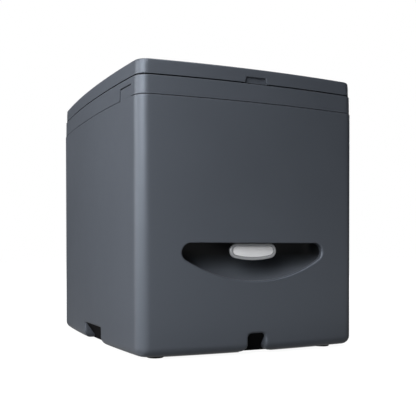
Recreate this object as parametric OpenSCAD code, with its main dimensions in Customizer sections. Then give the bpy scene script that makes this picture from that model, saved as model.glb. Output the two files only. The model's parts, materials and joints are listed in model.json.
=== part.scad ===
// Compact composting toilet with a crank-stirred solids bin and a urine bottle.
// Millimetres. X is to the right, Y to the rear, Z up; the origin is on the floor
// under the middle of the object's box.

/* [Body] */
// Width across the bowed sides at the parting line
body_w = 380; // [360:1:420]
// Depth from the front face to the flat rear face
body_d = 425; // [410:1:460]
// Height of the parting line between base and seat frame
base_h = 364; // [356:1:400]
// How far the middle of each side bulges past its ends
side_bow = 10.3; // [4:0.1:14]
// How far the middle of the front bulges past its ends
front_bow = 12; // [4:0.1:16]
// Radius of the upright corners in plan
corner_r = 20; // [16:1:28]
// Draft angle of the base's walls
draft = 0.75; // [0:0.05:1.2]
// Wall thickness of the base and the seat frame
wall = 4; // [3:0.1:5]
// Radius round the base's bottom edge
bottom_r = 12; // [8:1:15]
// Shadow gap between base and seat frame
part_gap = 1; // [0.6:0.1:1.6]

/* [Seat frame and seat] */
// Height of the seat frame's band
band_h = 27; // [25:1:34]
// Thickness of the seat frame's deck
deck_t = 4; // [3:0.1:5]
// Half width of the seat's outline
seat_a = 165; // [155:1:168]
// Half depth of the seat's outline
seat_b = 188; // [180:1:190]
// Height of the seat ring above the deck
seat_t = 13; // [11:0.5:14]
// Half width of the hole through the seat
hole_a = 104; // [95:1:110]
// Half depth of the hole through the seat
hole_b = 134; // [120:1:140]

/* [Lid] */
// Shadow gap between seat frame and lid
lid_gap = 2; // [1.5:0.1:3]
// Lid height from its lower edge to the top of its crown
lid_h = 25.5; // [24:0.5:32]
// How far the lid's sides stand inside the band's
lid_inset = 2; // [1:0.1:3]
// Wall thickness of the lid
lid_t = 3; // [2:0.1:3.5]
// Radius round the lid's top edge
lid_edge_r = 5; // [3:0.5:6]
// Rise of the crown over the edge
crown_h = 4.5; // [2:0.5:5]
// Width of the sloping band round the crown
crown_w = 35; // [25:1:45]
// Width of the finger notch along the lid's lower edge
grip_w = 37.6; // [30:0.2:44]
// Height of the finger notch
grip_h = 8.6; // [6:0.2:9]

/* [Hand recess] */
// Half width of the smile-shaped opening
smile_a = 117.2; // [105:0.2:125]
// Height of the opening's straight top edge
smile_top = 160.2; // [155:0.2:175]
// Height of the opening's lowest point
smile_low = 104.8; // [98:0.2:112]
// Radius of the opening's two corners
smile_r = 14; // [10:0.5:15]
// Depth of the lip turned in round the opening
lip_d = 8; // [6:0.5:9]
// Thickness of the lip and of the recess pan
pan_t = 2.5; // [2:0.1:3]
// Depth of the recess pan behind the front face
pan_d = 50; // [46:0.5:54]
// Room for the turning handle above the shaft's axis
pan_up = 46; // [43:0.5:50]

/* [Crank and agitator] */
// Height of the shaft's axis
shaft_z = 147.4; // [145:0.1:148]
// Width of the handle
knob_w = 77.4; // [60:0.2:80]
// Height of the handle, from its straight top to its bowed lower edge
knob_h = 25; // [23.5:0.1:27]
// Radius of the handle's round ends
knob_end_r = 11; // [9:0.1:11.5]
// Thickness of the handle
knob_t = 7; // [6:0.5:9]
// Depth of the handle's face behind the front face, pushed in
knob_in = 10; // [9.5:0.5:12]
// Width of the handle's light ring round the plate
knob_rim = 5; // [4:0.1:6]
// Travel of the handle when it is pulled out
pull = 50; // [40:1:52]
// Radius of the pull rod's round part
rod_r = 7; // [6.8:0.1:8]
// Side of the pull rod's square part
rod_sq = 9.4; // [8:0.1:9.4]
// Radius of the agitator shaft
shaft_r = 9.5; // [9.2:0.1:11]
// Radius to the middle of the stirring bars
stir_r = 110; // [90:1:114]
// Radius of the stirring bars
bar_r = 4; // [3:0.5:5]

/* [Bin and bottle] */
// Radius of the bin's round bottom, and half its width
bin_r = 133; // [126:1:134]
// Height of the bin's rim
bin_top = 288; // [270:1:290]
// Clearance between the bottle and the bin, for the shaft's end
bin_front_gap = 14; // [12:0.5:18]
// Clearance between the bin and the vent filter
bin_rear_gap = 10.6; // [8:0.1:20]
// Wall thickness of the bin
bin_t = 3; // [2:0.1:4]
// Width of the urine bottle
bottle_w = 300; // [240:2:310]
// Depth of the urine bottle
bottle_d = 72; // [60:1:76]
// Clearance between the recess pan's back and the bottle, for the rod's bush
bottle_gap = 14.2; // [12:0.1:20]
// Height of the bottle's shoulder
bottle_top = 270; // [250:1:274]
// Wall thickness of the bottle
bottle_t = 2.5; // [2:0.1:3]
// Width of the bottle's slot for the pull rod
slot_w = 30; // [26:1:40]
// Outer radius of the bottle's neck
neck_r = 23; // [20:0.5:26]

/* [Vent and power] */
// Side of the square exhaust fan
fan_w = 60; // [56:1:64]
// Thickness of the fan's frame
fan_t = 15; // [12:1:16]
// Thickness of the carbon filter
filter_t = 20; // [12:1:22]
// Number of fan blades
fan_blades = 7; // [5:1:9]
// Bore radius of the vent port, for a 38 mm hose
vent_r = 19; // [16:0.5:22]
// Distance of the fan's axis right of the middle
vent_x = 95; // [80:1:110]
// Distance of the fan's axis below the parting line
vent_down = 76; // [74:1:94]
// Bore radius of the power inlet
inlet_r = 2.8; // [2.2:0.1:3.5]
// Height of the power inlet
inlet_z = 60; // [40:1:100]

/* [Floor] */
// Height of the rubber feet below the base's floor
foot_h = 1.5; // [1:0.1:2.5]
// Radius of a rubber foot
foot_r = 12; // [9:0.5:14]
// Width of the notch under the front edge
front_notch_w = 29; // [24:0.5:36]
// Width of the bracket notch under each side
side_notch_w = 80; // [60:1:90]
// Height of the notches at the face
notch_h = 31; // [26:0.5:34]
// Depth of the notches at the floor
notch_d = 18; // [14:0.5:22]

/* [Latches] */
// Width of a latch tab
latch_w = 38; // [32:0.5:42]
// Height of the tab's window above the parting line
latch_h = 18; // [16:0.5:19]
// Distance of the latch's middle from the front face
latch_back = 55; // [50:0.5:62]

/* [Hidden] */
$fn = 48;

e = 0.01;             // overlap that makes a cut clean
run = 0.05;           // radial clearance of a running fit
seat_gap = 0.3;       // clearance of a piece on its seat

// Levels, from the floor up
shell_z = foot_h;                     // underside of the base
floor_t = wall;
floor_z = shell_z + floor_t;          // inside floor
base_top = base_h - part_gap / 2;
band_z = base_h + part_gap / 2;
deck_z = base_h + band_h;             // top of the seat frame
lid_z = deck_z + lid_gap;             // lower edge of the lid
top_z = lid_z + lid_h;
vent_z = base_h - vent_down;          // axis of the fan and the vent port
crown_slope = atan(2 * crown_h / crown_w);

// Plan places
hinge_r = 5;
body_y = -hinge_r / 2;                // the hinge knuckles stand proud of the rear face
rear_y = body_y + body_d / 2;
front_y = body_y - body_d / 2;
side_arc = arc_radius(body_d / 2, side_bow);
front_arc = arc_radius(body_w / 2, front_bow);
face_y = front_y + draft_in(shaft_z); // front face at the shaft's height

// The rear face at height z
function rear_at(z) = rear_y - draft_in(z);

// The row of pieces along Y, from the front and from the rear
pan_back = face_y + pan_d;
bottle_y0 = pan_back + bottle_gap;
bottle_y1 = bottle_y0 + bottle_d;
bin_y0 = bottle_y1 + bin_front_gap;
vent_y1 = rear_y - wall - 10;         // front face of the vent port
fan_y1 = vent_y1 - 0.2;
fan_y0 = fan_y1 - fan_t;
filter_y1 = fan_y0 - 0.2;
filter_y0 = filter_y1 - filter_t - 2;
bin_y1 = filter_y0 - bin_rear_gap;
latch_y = latch_back - body_d / 2;    // middle of the latch, from the middle of the body

// Hinges
pin_r = 2;
hinge_x = 90;         // middle of each frame hinge
lid_hinge_x = 45;     // middle of each lid hinge
knuckle_w = 9;        // width of an outer knuckle
knuckle_mid = 14;     // width of the middle knuckle
knuckle_gap = 0.4;
hinge_len = 2 * knuckle_w + knuckle_mid + 2 * knuckle_gap;
frame_axis_z = base_h;
lid_axis_z = deck_z + lid_gap / 2;

// Colours
grey = [0.27, 0.29, 0.32];
dark = [0.16, 0.17, 0.19];
light = [0.78, 0.79, 0.80];
steel = [0.72, 0.73, 0.75];
milky = [0.85, 0.86, 0.84, 0.9];

// ---------- Plan outline of the bowed body ----------

// Radius of an arc with half chord b and sagitta s
function arc_radius(b, s) = (b * b + s * s) / (2 * s);

// How far the drafted base stands inside its top outline at height z
function draft_in(z) = max(0, base_top - z) * tan(draft);

// Half width of the body at distance y from its middle
function half_at(y) = body_w / 2 - side_arc + sqrt(side_arc * side_arc - y * y);

// Points of an arc from angle a0 to a1 in n steps, without the last point
function arc(c, r, a0, a1, n) = [for (i = [0:n - 1]) let (a = a0 + (a1 - a0) * i / n)
  [c[0] + r * cos(a), c[1] + r * sin(a)]];

// Where two circles meet on the right of the line from p to q
function meet(p, rp, q, rq) = let (
  d = norm(q - p), l = (rp * rp - rq * rq + d * d) / (2 * d),
  h = sqrt(rp * rp - l * l), u = (q - p) / d)
  p + l * u + h * [u[1], -u[0]];

// Right half of the outline, front to rear, moved in by inset, with corner radius r
function half_outline(inset, r) = let (
  a = body_w / 2 - inset, b = body_d / 2 - inset,
  rs = side_arc - inset, rf = front_arc - inset,
  cs = [a - rs, 0], cf = [0, rf - b],
  c1 = meet(cs, rs - r, cf, rf - r),
  c2 = [cs[0] + sqrt((rs - r) * (rs - r) - (b - r) * (b - r)), b - r],
  a_front = atan2(c1[1] - cf[1], c1[0]), a_side = atan2(c1[1], c1[0] - cs[0]),
  a_rear = atan2(c2[1], c2[0] - cs[0]))
  concat(arc(cf, rf, -90, a_front, 5), arc(c1, r, a_front, a_side, 6),
    arc(cs, rs, a_side, a_rear, 6), arc(c2, r, a_rear, 90, 6), [[c2[0], b]]);

// Whole outline, counter-clockwise, placed on the body's middle
function outline(inset, r) = let (h = half_outline(inset, max(r, 2)), n = len(h))
  concat([for (p = h) p + [0, body_y]], [for (i = [n - 1:-1:1]) [-h[i][0], h[i][1] + body_y]]);

// Superellipse with half axes a and b and power n, middle at y
function oval(a, b, n, y, steps = 48) = [for (i = [0:steps - 1]) let (t = 360 * i / steps)
  [a * sign(cos(t)) * pow(abs(cos(t)), 2 / n), y + b * sign(sin(t)) * pow(abs(sin(t)), 2 / n)]];

// Rectangle w by d with corner radius r
function round_rect(w, d, r, n = 6) = concat(
  arc([w / 2 - r, d / 2 - r], r, 0, 90, n), [[w / 2 - r, d / 2]],
  arc([r - w / 2, d / 2 - r], r, 90, 180, n), [[-w / 2, d / 2 - r]],
  arc([r - w / 2, r - d / 2], r, 180, 270, n), [[r - w / 2, -d / 2]],
  arc([w / 2 - r, r - d / 2], r, 270, 360, n), [[w / 2, r - d / 2]]);

// Solid through level rings: each ring is [z, points], all with the same number of points
module loft(rings) {
  n = len(rings[0][1]);
  m = len(rings);
  polyhedron(
    points = [for (g = rings) for (p = g[1]) [p[0], p[1], g[0]]],
    faces = concat(
      [[for (i = [0:n - 1]) i]],
      [[for (i = [n - 1:-1:0]) (m - 1) * n + i]],
      [for (k = [0:m - 2]) for (i = [0:n - 1]) let (j = (i + 1) % n)
        [k * n + i, (k + 1) * n + i, (k + 1) * n + j]],
      [for (k = [0:m - 2]) for (i = [0:n - 1]) let (j = (i + 1) % n)
        [k * n + i, (k + 1) * n + j, k * n + j]]),
    convexity = 6);
}

// Band of the body between two heights, moved in by inset
module body_block(z0, z1, inset) {
  loft([for (z = [z0, z1]) [z, outline(inset, corner_r - inset)]]);
}

// Upright ring that follows the body's wall, from inset i0 in to inset i1
module wall_ring(z0, z1, i0, i1) {
  difference() {
    body_block(z0, z1, i0);
    body_block(z0 - 1, z1 + 1, i1);
  }
}

// Band of the drafted base between two heights, moved in by inset
module drafted_block(z0, z1, inset) {
  loft([for (z = [z0, z1]) base_ring(z, inset, corner_r)]);
}

// Turns a drawing in X and Z into a solid along Y, from y0 to y1
module along_y(y0, y1) {
  translate([0, y1, 0]) rotate([90, 0, 0]) linear_extrude(height = y1 - y0) children();
}

// Turns a drawing in Y and Z into a solid along X, from x0 to x1
module along_x(x0, x1) {
  translate([x0, 0, 0]) rotate([90, 0, 90]) linear_extrude(height = x1 - x0) children();
}

// Cylinder along Y from y0 to y1
module rod_y(x, z, r, y0, y1) {
  translate([x, y0, z]) rotate([-90, 0, 0]) cylinder(r = r, h = y1 - y0);
}

// Cylinder along X from x0 to x1
module rod_x(y, z, r, x0, x1) {
  translate([x0, y, z]) rotate([0, 90, 0]) cylinder(r = r, h = x1 - x0);
}

module both_sides() {
  children();
  mirror([1, 0, 0]) children();
}

// ---------- Hinges ----------

// Two outer knuckles at x; grow widens them for a cut
module outer_knuckles(x, z, r, grow = 0) {
  for (s = [-1, 1]) {
    m = x + s * (knuckle_mid + knuckle_w + 2 * knuckle_gap) / 2;
    rod_x(rear_y, z, r, m - knuckle_w / 2 - grow, m + knuckle_w / 2 + grow);
  }
}

module middle_knuckle(x, z, r, grow = 0) {
  rod_x(rear_y, z, r, x - knuckle_mid / 2 - grow, x + knuckle_mid / 2 + grow);
}

module pin_hole(x, z) {
  rod_x(rear_y, z, pin_r + run, x - hinge_len / 2 - 1, x + hinge_len / 2 + 1);
}

module hinge_pins(x, z) {
  for (s = [-1, 1]) rod_x(rear_y, z, pin_r, s * x - hinge_len / 2, s * x + hinge_len / 2);
}

// ---------- Hand recess ----------

// A bowed outline has a straight top at height z1, round ends of radius r at half width a,
// and a large arc below that dips to z0. This is the radius of that arc.
function bow_arc(a, z1, z0, r) = (pow(a - r, 2) + pow(z1 - r - z0, 2) - r * r) / (2 * (z1 - z0 - 2 * r));

// Right half of its lower edge grown by g, from the middle to the end's widest point
function bow_half(a, z1, z0, r, g) = let (
  big = bow_arc(a, z1, z0, r), turn = atan2(z1 - r - z0 - big, a - r))
  concat(arc([0, z0 + big], big + g, -90, turn, 10), arc([a - r, z1 - r], r + g, turn, 0, 6));

// The whole outline grown by g
function bow(a, z1, z0, r, g) = let (
  h = concat(bow_half(a, z1, z0, r, g), arc([a - r, z1 - r], r + g, 0, 90, 6), [[a - r, z1 + g]]),
  n = len(h))
  concat(h, [for (i = [n - 1:-1:1]) [-h[i][0], h[i][1]]]);

smile_cz = smile_top - smile_r;
smile_arc = bow_arc(smile_a, smile_top, smile_low, smile_r);
function smile_half(g) = bow_half(smile_a, smile_top, smile_low, smile_r, g);
function smile(g) = bow(smile_a, smile_top, smile_low, smile_r, g);

// The pan's outline: the same lower edge, and a higher top with corner radius r
function pan_outline(g, r = 20) = let (x = smile_a + g, z = shaft_z + pan_up + g,
    h = concat(smile_half(g), [[x, smile_cz]], arc([x - r, z - r], r, 0, 90, 5), [[x - r, z]]), n = len(h))
  concat(h, [for (i = [n - 1:-1:1]) [-h[i][0], h[i][1]]]);

// The pan's side profile in Y and Z: flat floor in front, scooped up at the back
function scoop(g, r = 26) = let (
  y = face_y + pan_d + g, z0 = smile_low - 6 - g, z1 = shaft_z + pan_up + 6 + g)
  concat([[front_y - 5, z0]], arc([y - r - g, z0 + r + g], r + g, 270, 360, 6), [[y, z0 + r + g]],
    [[y, z1]], [[front_y - 5, z1]]);

// The pan's form grown by g, open at the front
module pan_form(g) {
  intersection() {
    along_y(front_y - 2, face_y + pan_d + 10) polygon(pan_outline(pan_t + lip_gap + g));
    along_x(-body_w / 2, body_w / 2) polygon(scoop(g));
  }
}

// Everything inside the base's skin round the pan, moved in by inset
module pan_zone(inset) {
  drafted_block(smile_low - 20, shaft_z + pan_up + 20, inset);
}

pan_gap = 0.1;              // between the wall and the pan's flange
lip_gap = 0.6;              // round the lip, inside the pan
pan_flange = 13;            // reach of the flange past the opening
// Height of the opening's lower edge at x
function smile_floor(x) = smile_low + smile_arc - sqrt(smile_arc * smile_arc - x * x);

screw_out = 12.5;           // from the opening or the pan's top to its screws
pan_side = smile_a - 7.2;
pan_low = smile_a - 42.2;
pan_screw_spots = [for (s = [-1, 1]) each [[s * pan_side, smile_top + screw_out],
  [s * pan_low, smile_floor(pan_low) - screw_out]], [0, shaft_z + pan_up + screw_out - pan_t]];
pan_bite = 2.3;             // how deep the pan's screws go into the wall
screw_r = 1.5;
head_r = 3;

// ---------- Base ----------

notch_flare = 10;           // radius of the notches' lower corners
side_notch_y = -5;          // middle of the side notches, from the middle of the body

// Outline of a notch, seen square on: round top corners, and a flare at the floor
function notch_outline(w, h, top_r, g) = let (
  a = w / 2 + g, f = notch_flare - g, t = top_r + g,
  half = concat([[a + f, -2]], arc([a + f, shell_z + f], f, 270, 180, 5), [[a, shell_z + f]],
    arc([a - t, h + g - t], t, 0, 90, 4), [[a - t, h + g]]), n = len(half))
  concat(half, [for (i = [n - 1:-1:0]) [-half[i][0], half[i][1]]]);

// Wedge notch at the front of the Y axis, w wide, grown by g; its ceiling falls inwards
module notch(w, h, top_r, g) {
  intersection() {
    along_x(-w, w) polygon([[-8, -2], [-8, h + g], [2, h + g], [notch_d + g, 9 + g], [notch_d + g, -2]]);
    along_y(-9, notch_d + 10) polygon(notch_outline(w, h, top_r, g));
  }
}

module notches(g) {
  translate([0, front_y + draft_in(notch_h), 0]) notch(front_notch_w, notch_h, 7, g);
  both_sides() translate([-body_w / 2 + draft_in(notch_h), body_y + side_notch_y, 0]) rotate([0, 0, -90])
    notch(side_notch_w, notch_h, 2.5, g);
}

function base_ring(z, inset, r) = [z, outline(inset + draft_in(z), r - inset)];

module base_outer() {
  chamfer = 0.8;
  loft(concat(
    [for (t = [0:18:90]) base_ring(shell_z + bottom_r * (1 - cos(t)), bottom_r * (1 - sin(t)), corner_r)],
    [base_ring(base_top - chamfer, 0, corner_r), base_ring(base_top, chamfer, corner_r)]));
}

module base_inner() {
  r = bottom_r - wall;
  loft(concat(
    [for (t = [0:30:90]) base_ring(floor_z + r * (1 - cos(t)), wall + r * (1 - sin(t)), corner_r)],
    [base_ring(base_top + 1, wall, corner_r)]));
}

foot_x = body_w / 2 - 50;   // middle of a foot, from the middle of the body
foot_y = body_d / 2 - 47.5;
ledge_z = base_top - 12;    // top of the ledge that carries the gasket
ledge_w = 5;
rib_t = 4;
cradle_spots = [bin_y0 + 32, bin_y1 - 38];
cradle_h = 60;
pad_h = 1.5;

module at_feet() {
  for (x = [-foot_x, foot_x], y = [-foot_y, foot_y]) translate([x, body_y + y, 0]) children();
}

// Ribs with a round hollow that carry the bin, on the base's floor
module bin_cradles() {
  half_w = bin_r - 12;
  color(grey) for (y = cradle_spots) difference() {
    translate([-half_w, y - rib_t / 2, floor_z]) cube([2 * half_w, rib_t, cradle_h]);
    rod_y(0, shaft_z, bin_r + seat_gap, y - rib_t, y + rib_t);
  }
}

latch_pivot_z = base_h - 34;
latch_stem_in = 10;         // outer face of the latch stem, inside the body's side
latch_pin_r = 1.5;
ear_t = 4;
ear_gap = 0.4;              // between a latch's stem and the ears
latch_stem_w = 22;

// Ears that hold the left latch's pin
module latch_ears() {
  x = -half_at(latch_y) + wall - 1;
  off = latch_stem_w / 2 + ear_t / 2 + ear_gap;
  for (s = [-1, 1]) translate([x, body_y + latch_y + s * off - ear_t / 2, latch_pivot_z - 8])
    cube([latch_stem_in + 4, ear_t, 16]);
}

module latch_bores() {
  rod_y(-half_at(latch_y) + latch_stem_in + 1.75, latch_pivot_z, latch_pin_r + run,
    body_y + latch_y - 20, body_y + latch_y + 20);
}

fan_screw_off = fan_w / 2 - 5;

module at_fan_screws() {
  for (x = [-1, 1], z = [-1, 1])
    translate([vent_x + x * fan_screw_off, 0, vent_z + z * fan_screw_off]) children();
}

// The tub's floor and inner side, filled out past its outer skin
module base_inside() {
  difference() {
    translate([-body_w / 2, front_y, 0]) cube([body_w, body_d, base_h]);
    base_inner();
  }
  notches(wall);
  // lip turned in round the opening
  difference() {
    along_y(front_y, face_y + lip_d + 6) polygon(smile(pan_t));
    drafted_block(smile_low - 10, smile_top + 10, lip_d);
  }
  // ledge for the gasket
  difference() {
    translate([-body_w / 2, front_y, ledge_z - 3]) cube([body_w, body_d, 3]);
    body_block(ledge_z - 4, ledge_z + 1, wall + ledge_w);
  }
  // pads that carry the bottle
  for (x = [-90, 90]) translate([x - 20, bottle_y0 + 6, floor_z - e])
    cube([40, bottle_y1 - bottle_y0 - 12, pad_h]);
  both_sides() latch_ears();
  // bosses for the fan's screws
  at_fan_screws() rod_y(0, 0, 4, fan_y1, rear_y);
}

// The whole tub. It is moulded in one; its nodes are its floor, front, sides and rear,
// which meet on flat faces
module tub() {
  difference() {
    union() {
      intersection() {
        base_outer();
        base_inside();
      }
      for (s = [-1, 1]) outer_knuckles(s * hinge_x, frame_axis_z, hinge_r);
    }
    along_y(front_y - 5, front_y + 30) polygon(smile(0));
    notches(0);
    both_sides() latch_bores();
    at_feet() translate([0, 0, -1]) cylinder(r = foot_r + 0.2, h = 1 + 2 * foot_h);
    for (p = pan_screw_spots)
      rod_y(p[0], p[1], screw_r, pan_seat(p) - pan_t - pan_gap - pan_bite, face_y + 30);
    for (s = [-1, 1]) {
      middle_knuckle(s * hinge_x, frame_axis_z, hinge_r + 0.5, knuckle_gap);
      pin_hole(s * hinge_x, frame_axis_z);
    }
    rod_y(vent_x, vent_z, vent_r + 3.1, vent_y1 - 1, rear_y + 2);
    at_fan_screws() rod_y(0, 0, screw_r, fan_y1 - 1, fan_screw_end + 0.5);
    rod_y(-vent_x, inlet_z, 6.1, rear_at(inlet_z) - 20, rear_y + 2);
  }
}

panel_in = 30;              // from the tub's front and rear faces to the panels' meeting faces
side_panel = 45;            // room inside a side panel

// The part of the tub inside its children
module tub_part() {
  color(grey) intersection() {
    tub();
    union() children();
  }
}

// Box between two points
module between(lo, hi) {
  translate(lo) cube(hi - lo);
}

module base_floor() {
  tub_part() {
    between([-body_w / 2, front_y, 0], [body_w / 2, rear_y, floor_z]);
    between([-bottle_w / 2, bottle_y0, floor_z - e], [bottle_w / 2, bottle_y1, floor_z + 2 * pad_h]);
  }
}

module base_front() {
  tub_part() between([-body_w / 2, front_y, floor_z], [body_w / 2, front_y + panel_in, base_top + 1]);
}

module base_sides() {
  y0 = front_y + panel_in;
  y1 = rear_y - panel_in;
  tub_part() {
    between([-body_w / 2, y0, floor_z], [side_panel - body_w / 2, y1, base_top + 1]);
    between([body_w / 2 - side_panel, y0, floor_z], [body_w / 2, y1, base_top + 1]);
  }
}

module base_rear() {
  hinge_room = 2 * hinge_r;
  tub_part() between([-body_w / 2, rear_y - panel_in, floor_z],
    [body_w / 2, rear_y + hinge_room, base_h + hinge_room]);
}

module recess_pan() {
  color(dark) difference() {
    intersection() {
      pan_zone(wall + pan_gap);
      union() {
        pan_form(pan_t);
        // flange on the inside of the front wall
        difference() {
          along_y(front_y, front_y + 30) polygon(pan_outline(pan_flange));
          pan_zone(wall + pan_gap + pan_t);
        }
      }
    }
    pan_form(0);
    rod_y(0, shaft_z, rod_r + 3 + run, face_y + pan_d - 5, face_y + pan_d + 10);
    for (p = pan_screw_spots) {
      rod_y(p[0], p[1], screw_r + 0.2, front_y, face_y + 30);
      rod_y(p[0], p[1], head_r + 0.2, pan_seat(p), face_y + 30);
    }
  }
}

// Where the head of the pan screw at p seats
function pan_seat(p) = front_y + draft_in(p[1]) + front_arc - sqrt(front_arc * front_arc - p[0] * p[0])
  + wall + pan_gap + pan_t;

module pan_screws() {
  color(steel) for (p = pan_screw_spots) {
    rod_y(p[0], p[1], screw_r, pan_seat(p) - pan_t - pan_gap - pan_bite, pan_seat(p) + e);
    rod_y(p[0], p[1], head_r, pan_seat(p), pan_seat(p) + 2);
  }
}

module rubber_feet() {
  color([0.08, 0.08, 0.09]) at_feet() cylinder(r = foot_r, h = 2 * foot_h);
}

module dc_inlet() {
  y = rear_at(inlet_z);
  color([0.08, 0.08, 0.09]) difference() {
    union() {
      rod_y(-vent_x, inlet_z, 6, y - 14, y + 1);
      rod_y(-vent_x, inlet_z, 8, y + 0.1, y + 2);
    }
    rod_y(-vent_x, inlet_z, inlet_r, y - 9, y + 3);
  }
}

// ---------- Crank ----------

knob_y = face_y + knob_in;
shaft_y0 = bin_y0 - 6;      // front end of the agitator shaft
rod_turn = pan_back + 14;   // where the rod changes from round to square
rod_hold = 120;             // length of the rod's square end that stays behind its bush, pulled out
rod_end = rod_turn + pull + rod_hold;

module rod_bush() {
  color(light) difference() {
    union() {
      rod_y(0, shaft_z, rod_r + 3, pan_back - 2, pan_back + 10);
      rod_y(0, shaft_z, rod_r + 6, pan_back + pan_t, pan_back + 6);
    }
    rod_y(0, shaft_z, rod_r + run, pan_back - 3, pan_back + 11);
  }
}

module pull_rod() {
  color(steel) {
    rod_y(0, shaft_z, rod_r, knob_y + knob_t, rod_turn);
    translate([-rod_sq / 2, rod_turn - e, shaft_z - rod_sq / 2])
      cube([rod_sq, rod_end - rod_turn + e, rod_sq]);
  }
}

knob_gap = 0.6;             // under the opening's top edge, which the handle passes when it is pulled out

// Outline of the handle, bowed as the opening is, moved in by g
module knob_outline(g) {
  top = smile_top - knob_gap;
  polygon(bow(knob_w / 2, top, top - knob_h, knob_end_r, -g));
}

module crank_handle() {
  edge = 2;
  color(light) difference() {
    union() {
      for (k = [0:2]) along_y(knob_y + edge * k / 2, knob_y + knob_t - edge * k / 2)
        knob_outline(edge * (2 - k) * (2 - k) / 4);
      rod_y(0, shaft_z, rod_r + 2, knob_y + knob_t - e, knob_y + knob_t + 8);
    }
    along_y(knob_y - 1, knob_y + 2) knob_outline(knob_rim);
    rod_y(0, shaft_z, rod_r, knob_y + knob_t, knob_y + knob_t + 20);
  }
}

module handle_plate() {
  color([0.9, 0.9, 0.9]) along_y(knob_y + 0.8, knob_y + 2) knob_outline(knob_rim + 0.2);
}

// ---------- Bin and agitator ----------

// Trough section grown by g: round below the shaft, straight above
module trough(g, top) {
  translate([0, shaft_z]) circle(r = bin_r + g, $fn = 96);
  translate([-bin_r - g, shaft_z]) square([2 * (bin_r + g), top - shaft_z]);
}

module solids_bin() {
  rim = 6;
  grip = 16;
  color(dark) difference() {
    union() {
      along_y(bin_y0, bin_y1) intersection() {
        trough(0, bin_top);
        translate([-bin_r, 0]) square([2 * bin_r, bin_top]);
      }
      translate([-bin_r - rim, bin_y0 - rim, bin_top - 3])
        cube([2 * (bin_r + rim), bin_y1 - bin_y0 + 2 * rim, 3]);
      both_sides() translate([bin_r - 1, 0, bin_top - 3]) cube([grip + 6, 90, 3]);
      both_sides() translate([bin_r + grip + 2, 0, bin_top - 9]) cube([3, 90, 9]);
      rod_y(0, shaft_z, shaft_r + 8, bin_y1 - bin_t, bin_y1 + 4);
    }
    along_y(bin_y0 + bin_t, bin_y1 - bin_t) {
      translate([0, shaft_z]) circle(r = bin_r - bin_t, $fn = 96);
      translate([-bin_r + bin_t, shaft_z]) square([2 * (bin_r - bin_t), bin_top - shaft_z + 5]);
    }
    rod_y(0, shaft_z, shaft_r + 3.05, bin_y0 - 5, bin_y1 + 1);
    both_sides() translate([bin_r + rim, 5, bin_top - 5]) cube([grip - rim, 80, 10]);
  }
}

module front_bush() {
  color(light) difference() {
    union() {
      rod_y(0, shaft_z, shaft_r + 3, bin_y0 - 3, bin_y0 + bin_t + 3);
      rod_y(0, shaft_z, shaft_r + 6, bin_y0 - 3, bin_y0);
    }
    rod_y(0, shaft_z, shaft_r + run, bin_y0 - 4, bin_y0 + bin_t + 4);
  }
}

module rear_bush() {
  color(light) difference() {
    rod_y(0, shaft_z, shaft_r + 3, bin_y1 - bin_t - 3, bin_y1 + 1);
    rod_y(0, shaft_z, shaft_r + run, bin_y1 - bin_t - 4, bin_y1 + 2);
  }
}

module agitator_shaft() {
  sq = rod_sq + 0.2;
  color(steel) difference() {
    rod_y(0, shaft_z, shaft_r, shaft_y0, bin_y1 + 0.7);
    translate([-sq / 2, shaft_y0 - 1, shaft_z - sq / 2]) cube([sq, rod_end - shaft_y0 + 6, sq]);
  }
}

// Welded stirrer: three hubs on the shaft, two long bars and a pair of middle tines
module stirrer_arms() {
  end_room = 14;            // from the bin's end walls to the outer hubs
  y0 = bin_y0 + bin_t + end_room;
  y1 = bin_y1 - bin_t - end_room;
  mid = (y0 + y1) / 2;
  arm_r = bar_r - 0.5;
  color(steel) difference() {
    union() {
      for (y = [y0, mid, y1]) rod_y(0, shaft_z, shaft_r + 5, y - 6, y + 6);
      for (y = [y0, mid, y1]) rod_x(y, shaft_z, arm_r, -stir_r, stir_r);
      translate([0, mid, shaft_z - stir_r]) cylinder(r = arm_r, h = 2 * stir_r);
      for (s = [-1, 1]) rod_y(s * stir_r, shaft_z, bar_r, y0 - bar_r, y1 + bar_r);
    }
    rod_y(0, shaft_z, shaft_r, bin_y0, bin_y1);
  }
}

// ---------- Urine bottle ----------

bottle_z = floor_z + pad_h + seat_gap;
neck_y = (bottle_y0 + bottle_y1) / 2;
neck_top = deck_z - 93;

module bottle_block(g, top) {
  w = bottle_w - 2 * g;
  d = bottle_y1 - bottle_y0 - 2 * g;
  translate([0, neck_y, bottle_z + g]) linear_extrude(height = top - bottle_z - g)
    polygon(round_rect(w, d, 16 - g));
}

// Slot for the rod, open below, with a round top; g grows it
module bottle_slot(g) {
  top = shaft_z + rod_r + 4;
  translate([-slot_w / 2 - g, bottle_y0 - 5, bottle_z - 5]) cube([slot_w + 2 * g, 90, top - bottle_z - 5]);
  rod_y(0, top - 10, slot_w / 2 + g, bottle_y0 - 5, bottle_y0 + 85);
}

// The bottle is moulded in one; its nodes are its front and rear halves up to the shoulder,
// the shoulder and the neck, which meet on flat faces
shoulder_z = bottle_top - bottle_t;

module bottle_half(y0, y1) {
  color(milky) intersection() {
    difference() {
      bottle_block(0, shoulder_z);
      difference() {
        bottle_block(bottle_t, bottle_top);
        bottle_slot(bottle_t);
      }
      bottle_slot(0);
    }
    between([-bottle_w / 2, y0, 0], [bottle_w / 2, y1, bottle_top]);
  }
}

module bottle_front() {
  bottle_half(bottle_y0, neck_y);
}

module bottle_rear() {
  bottle_half(neck_y, bottle_y1);
}

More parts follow.
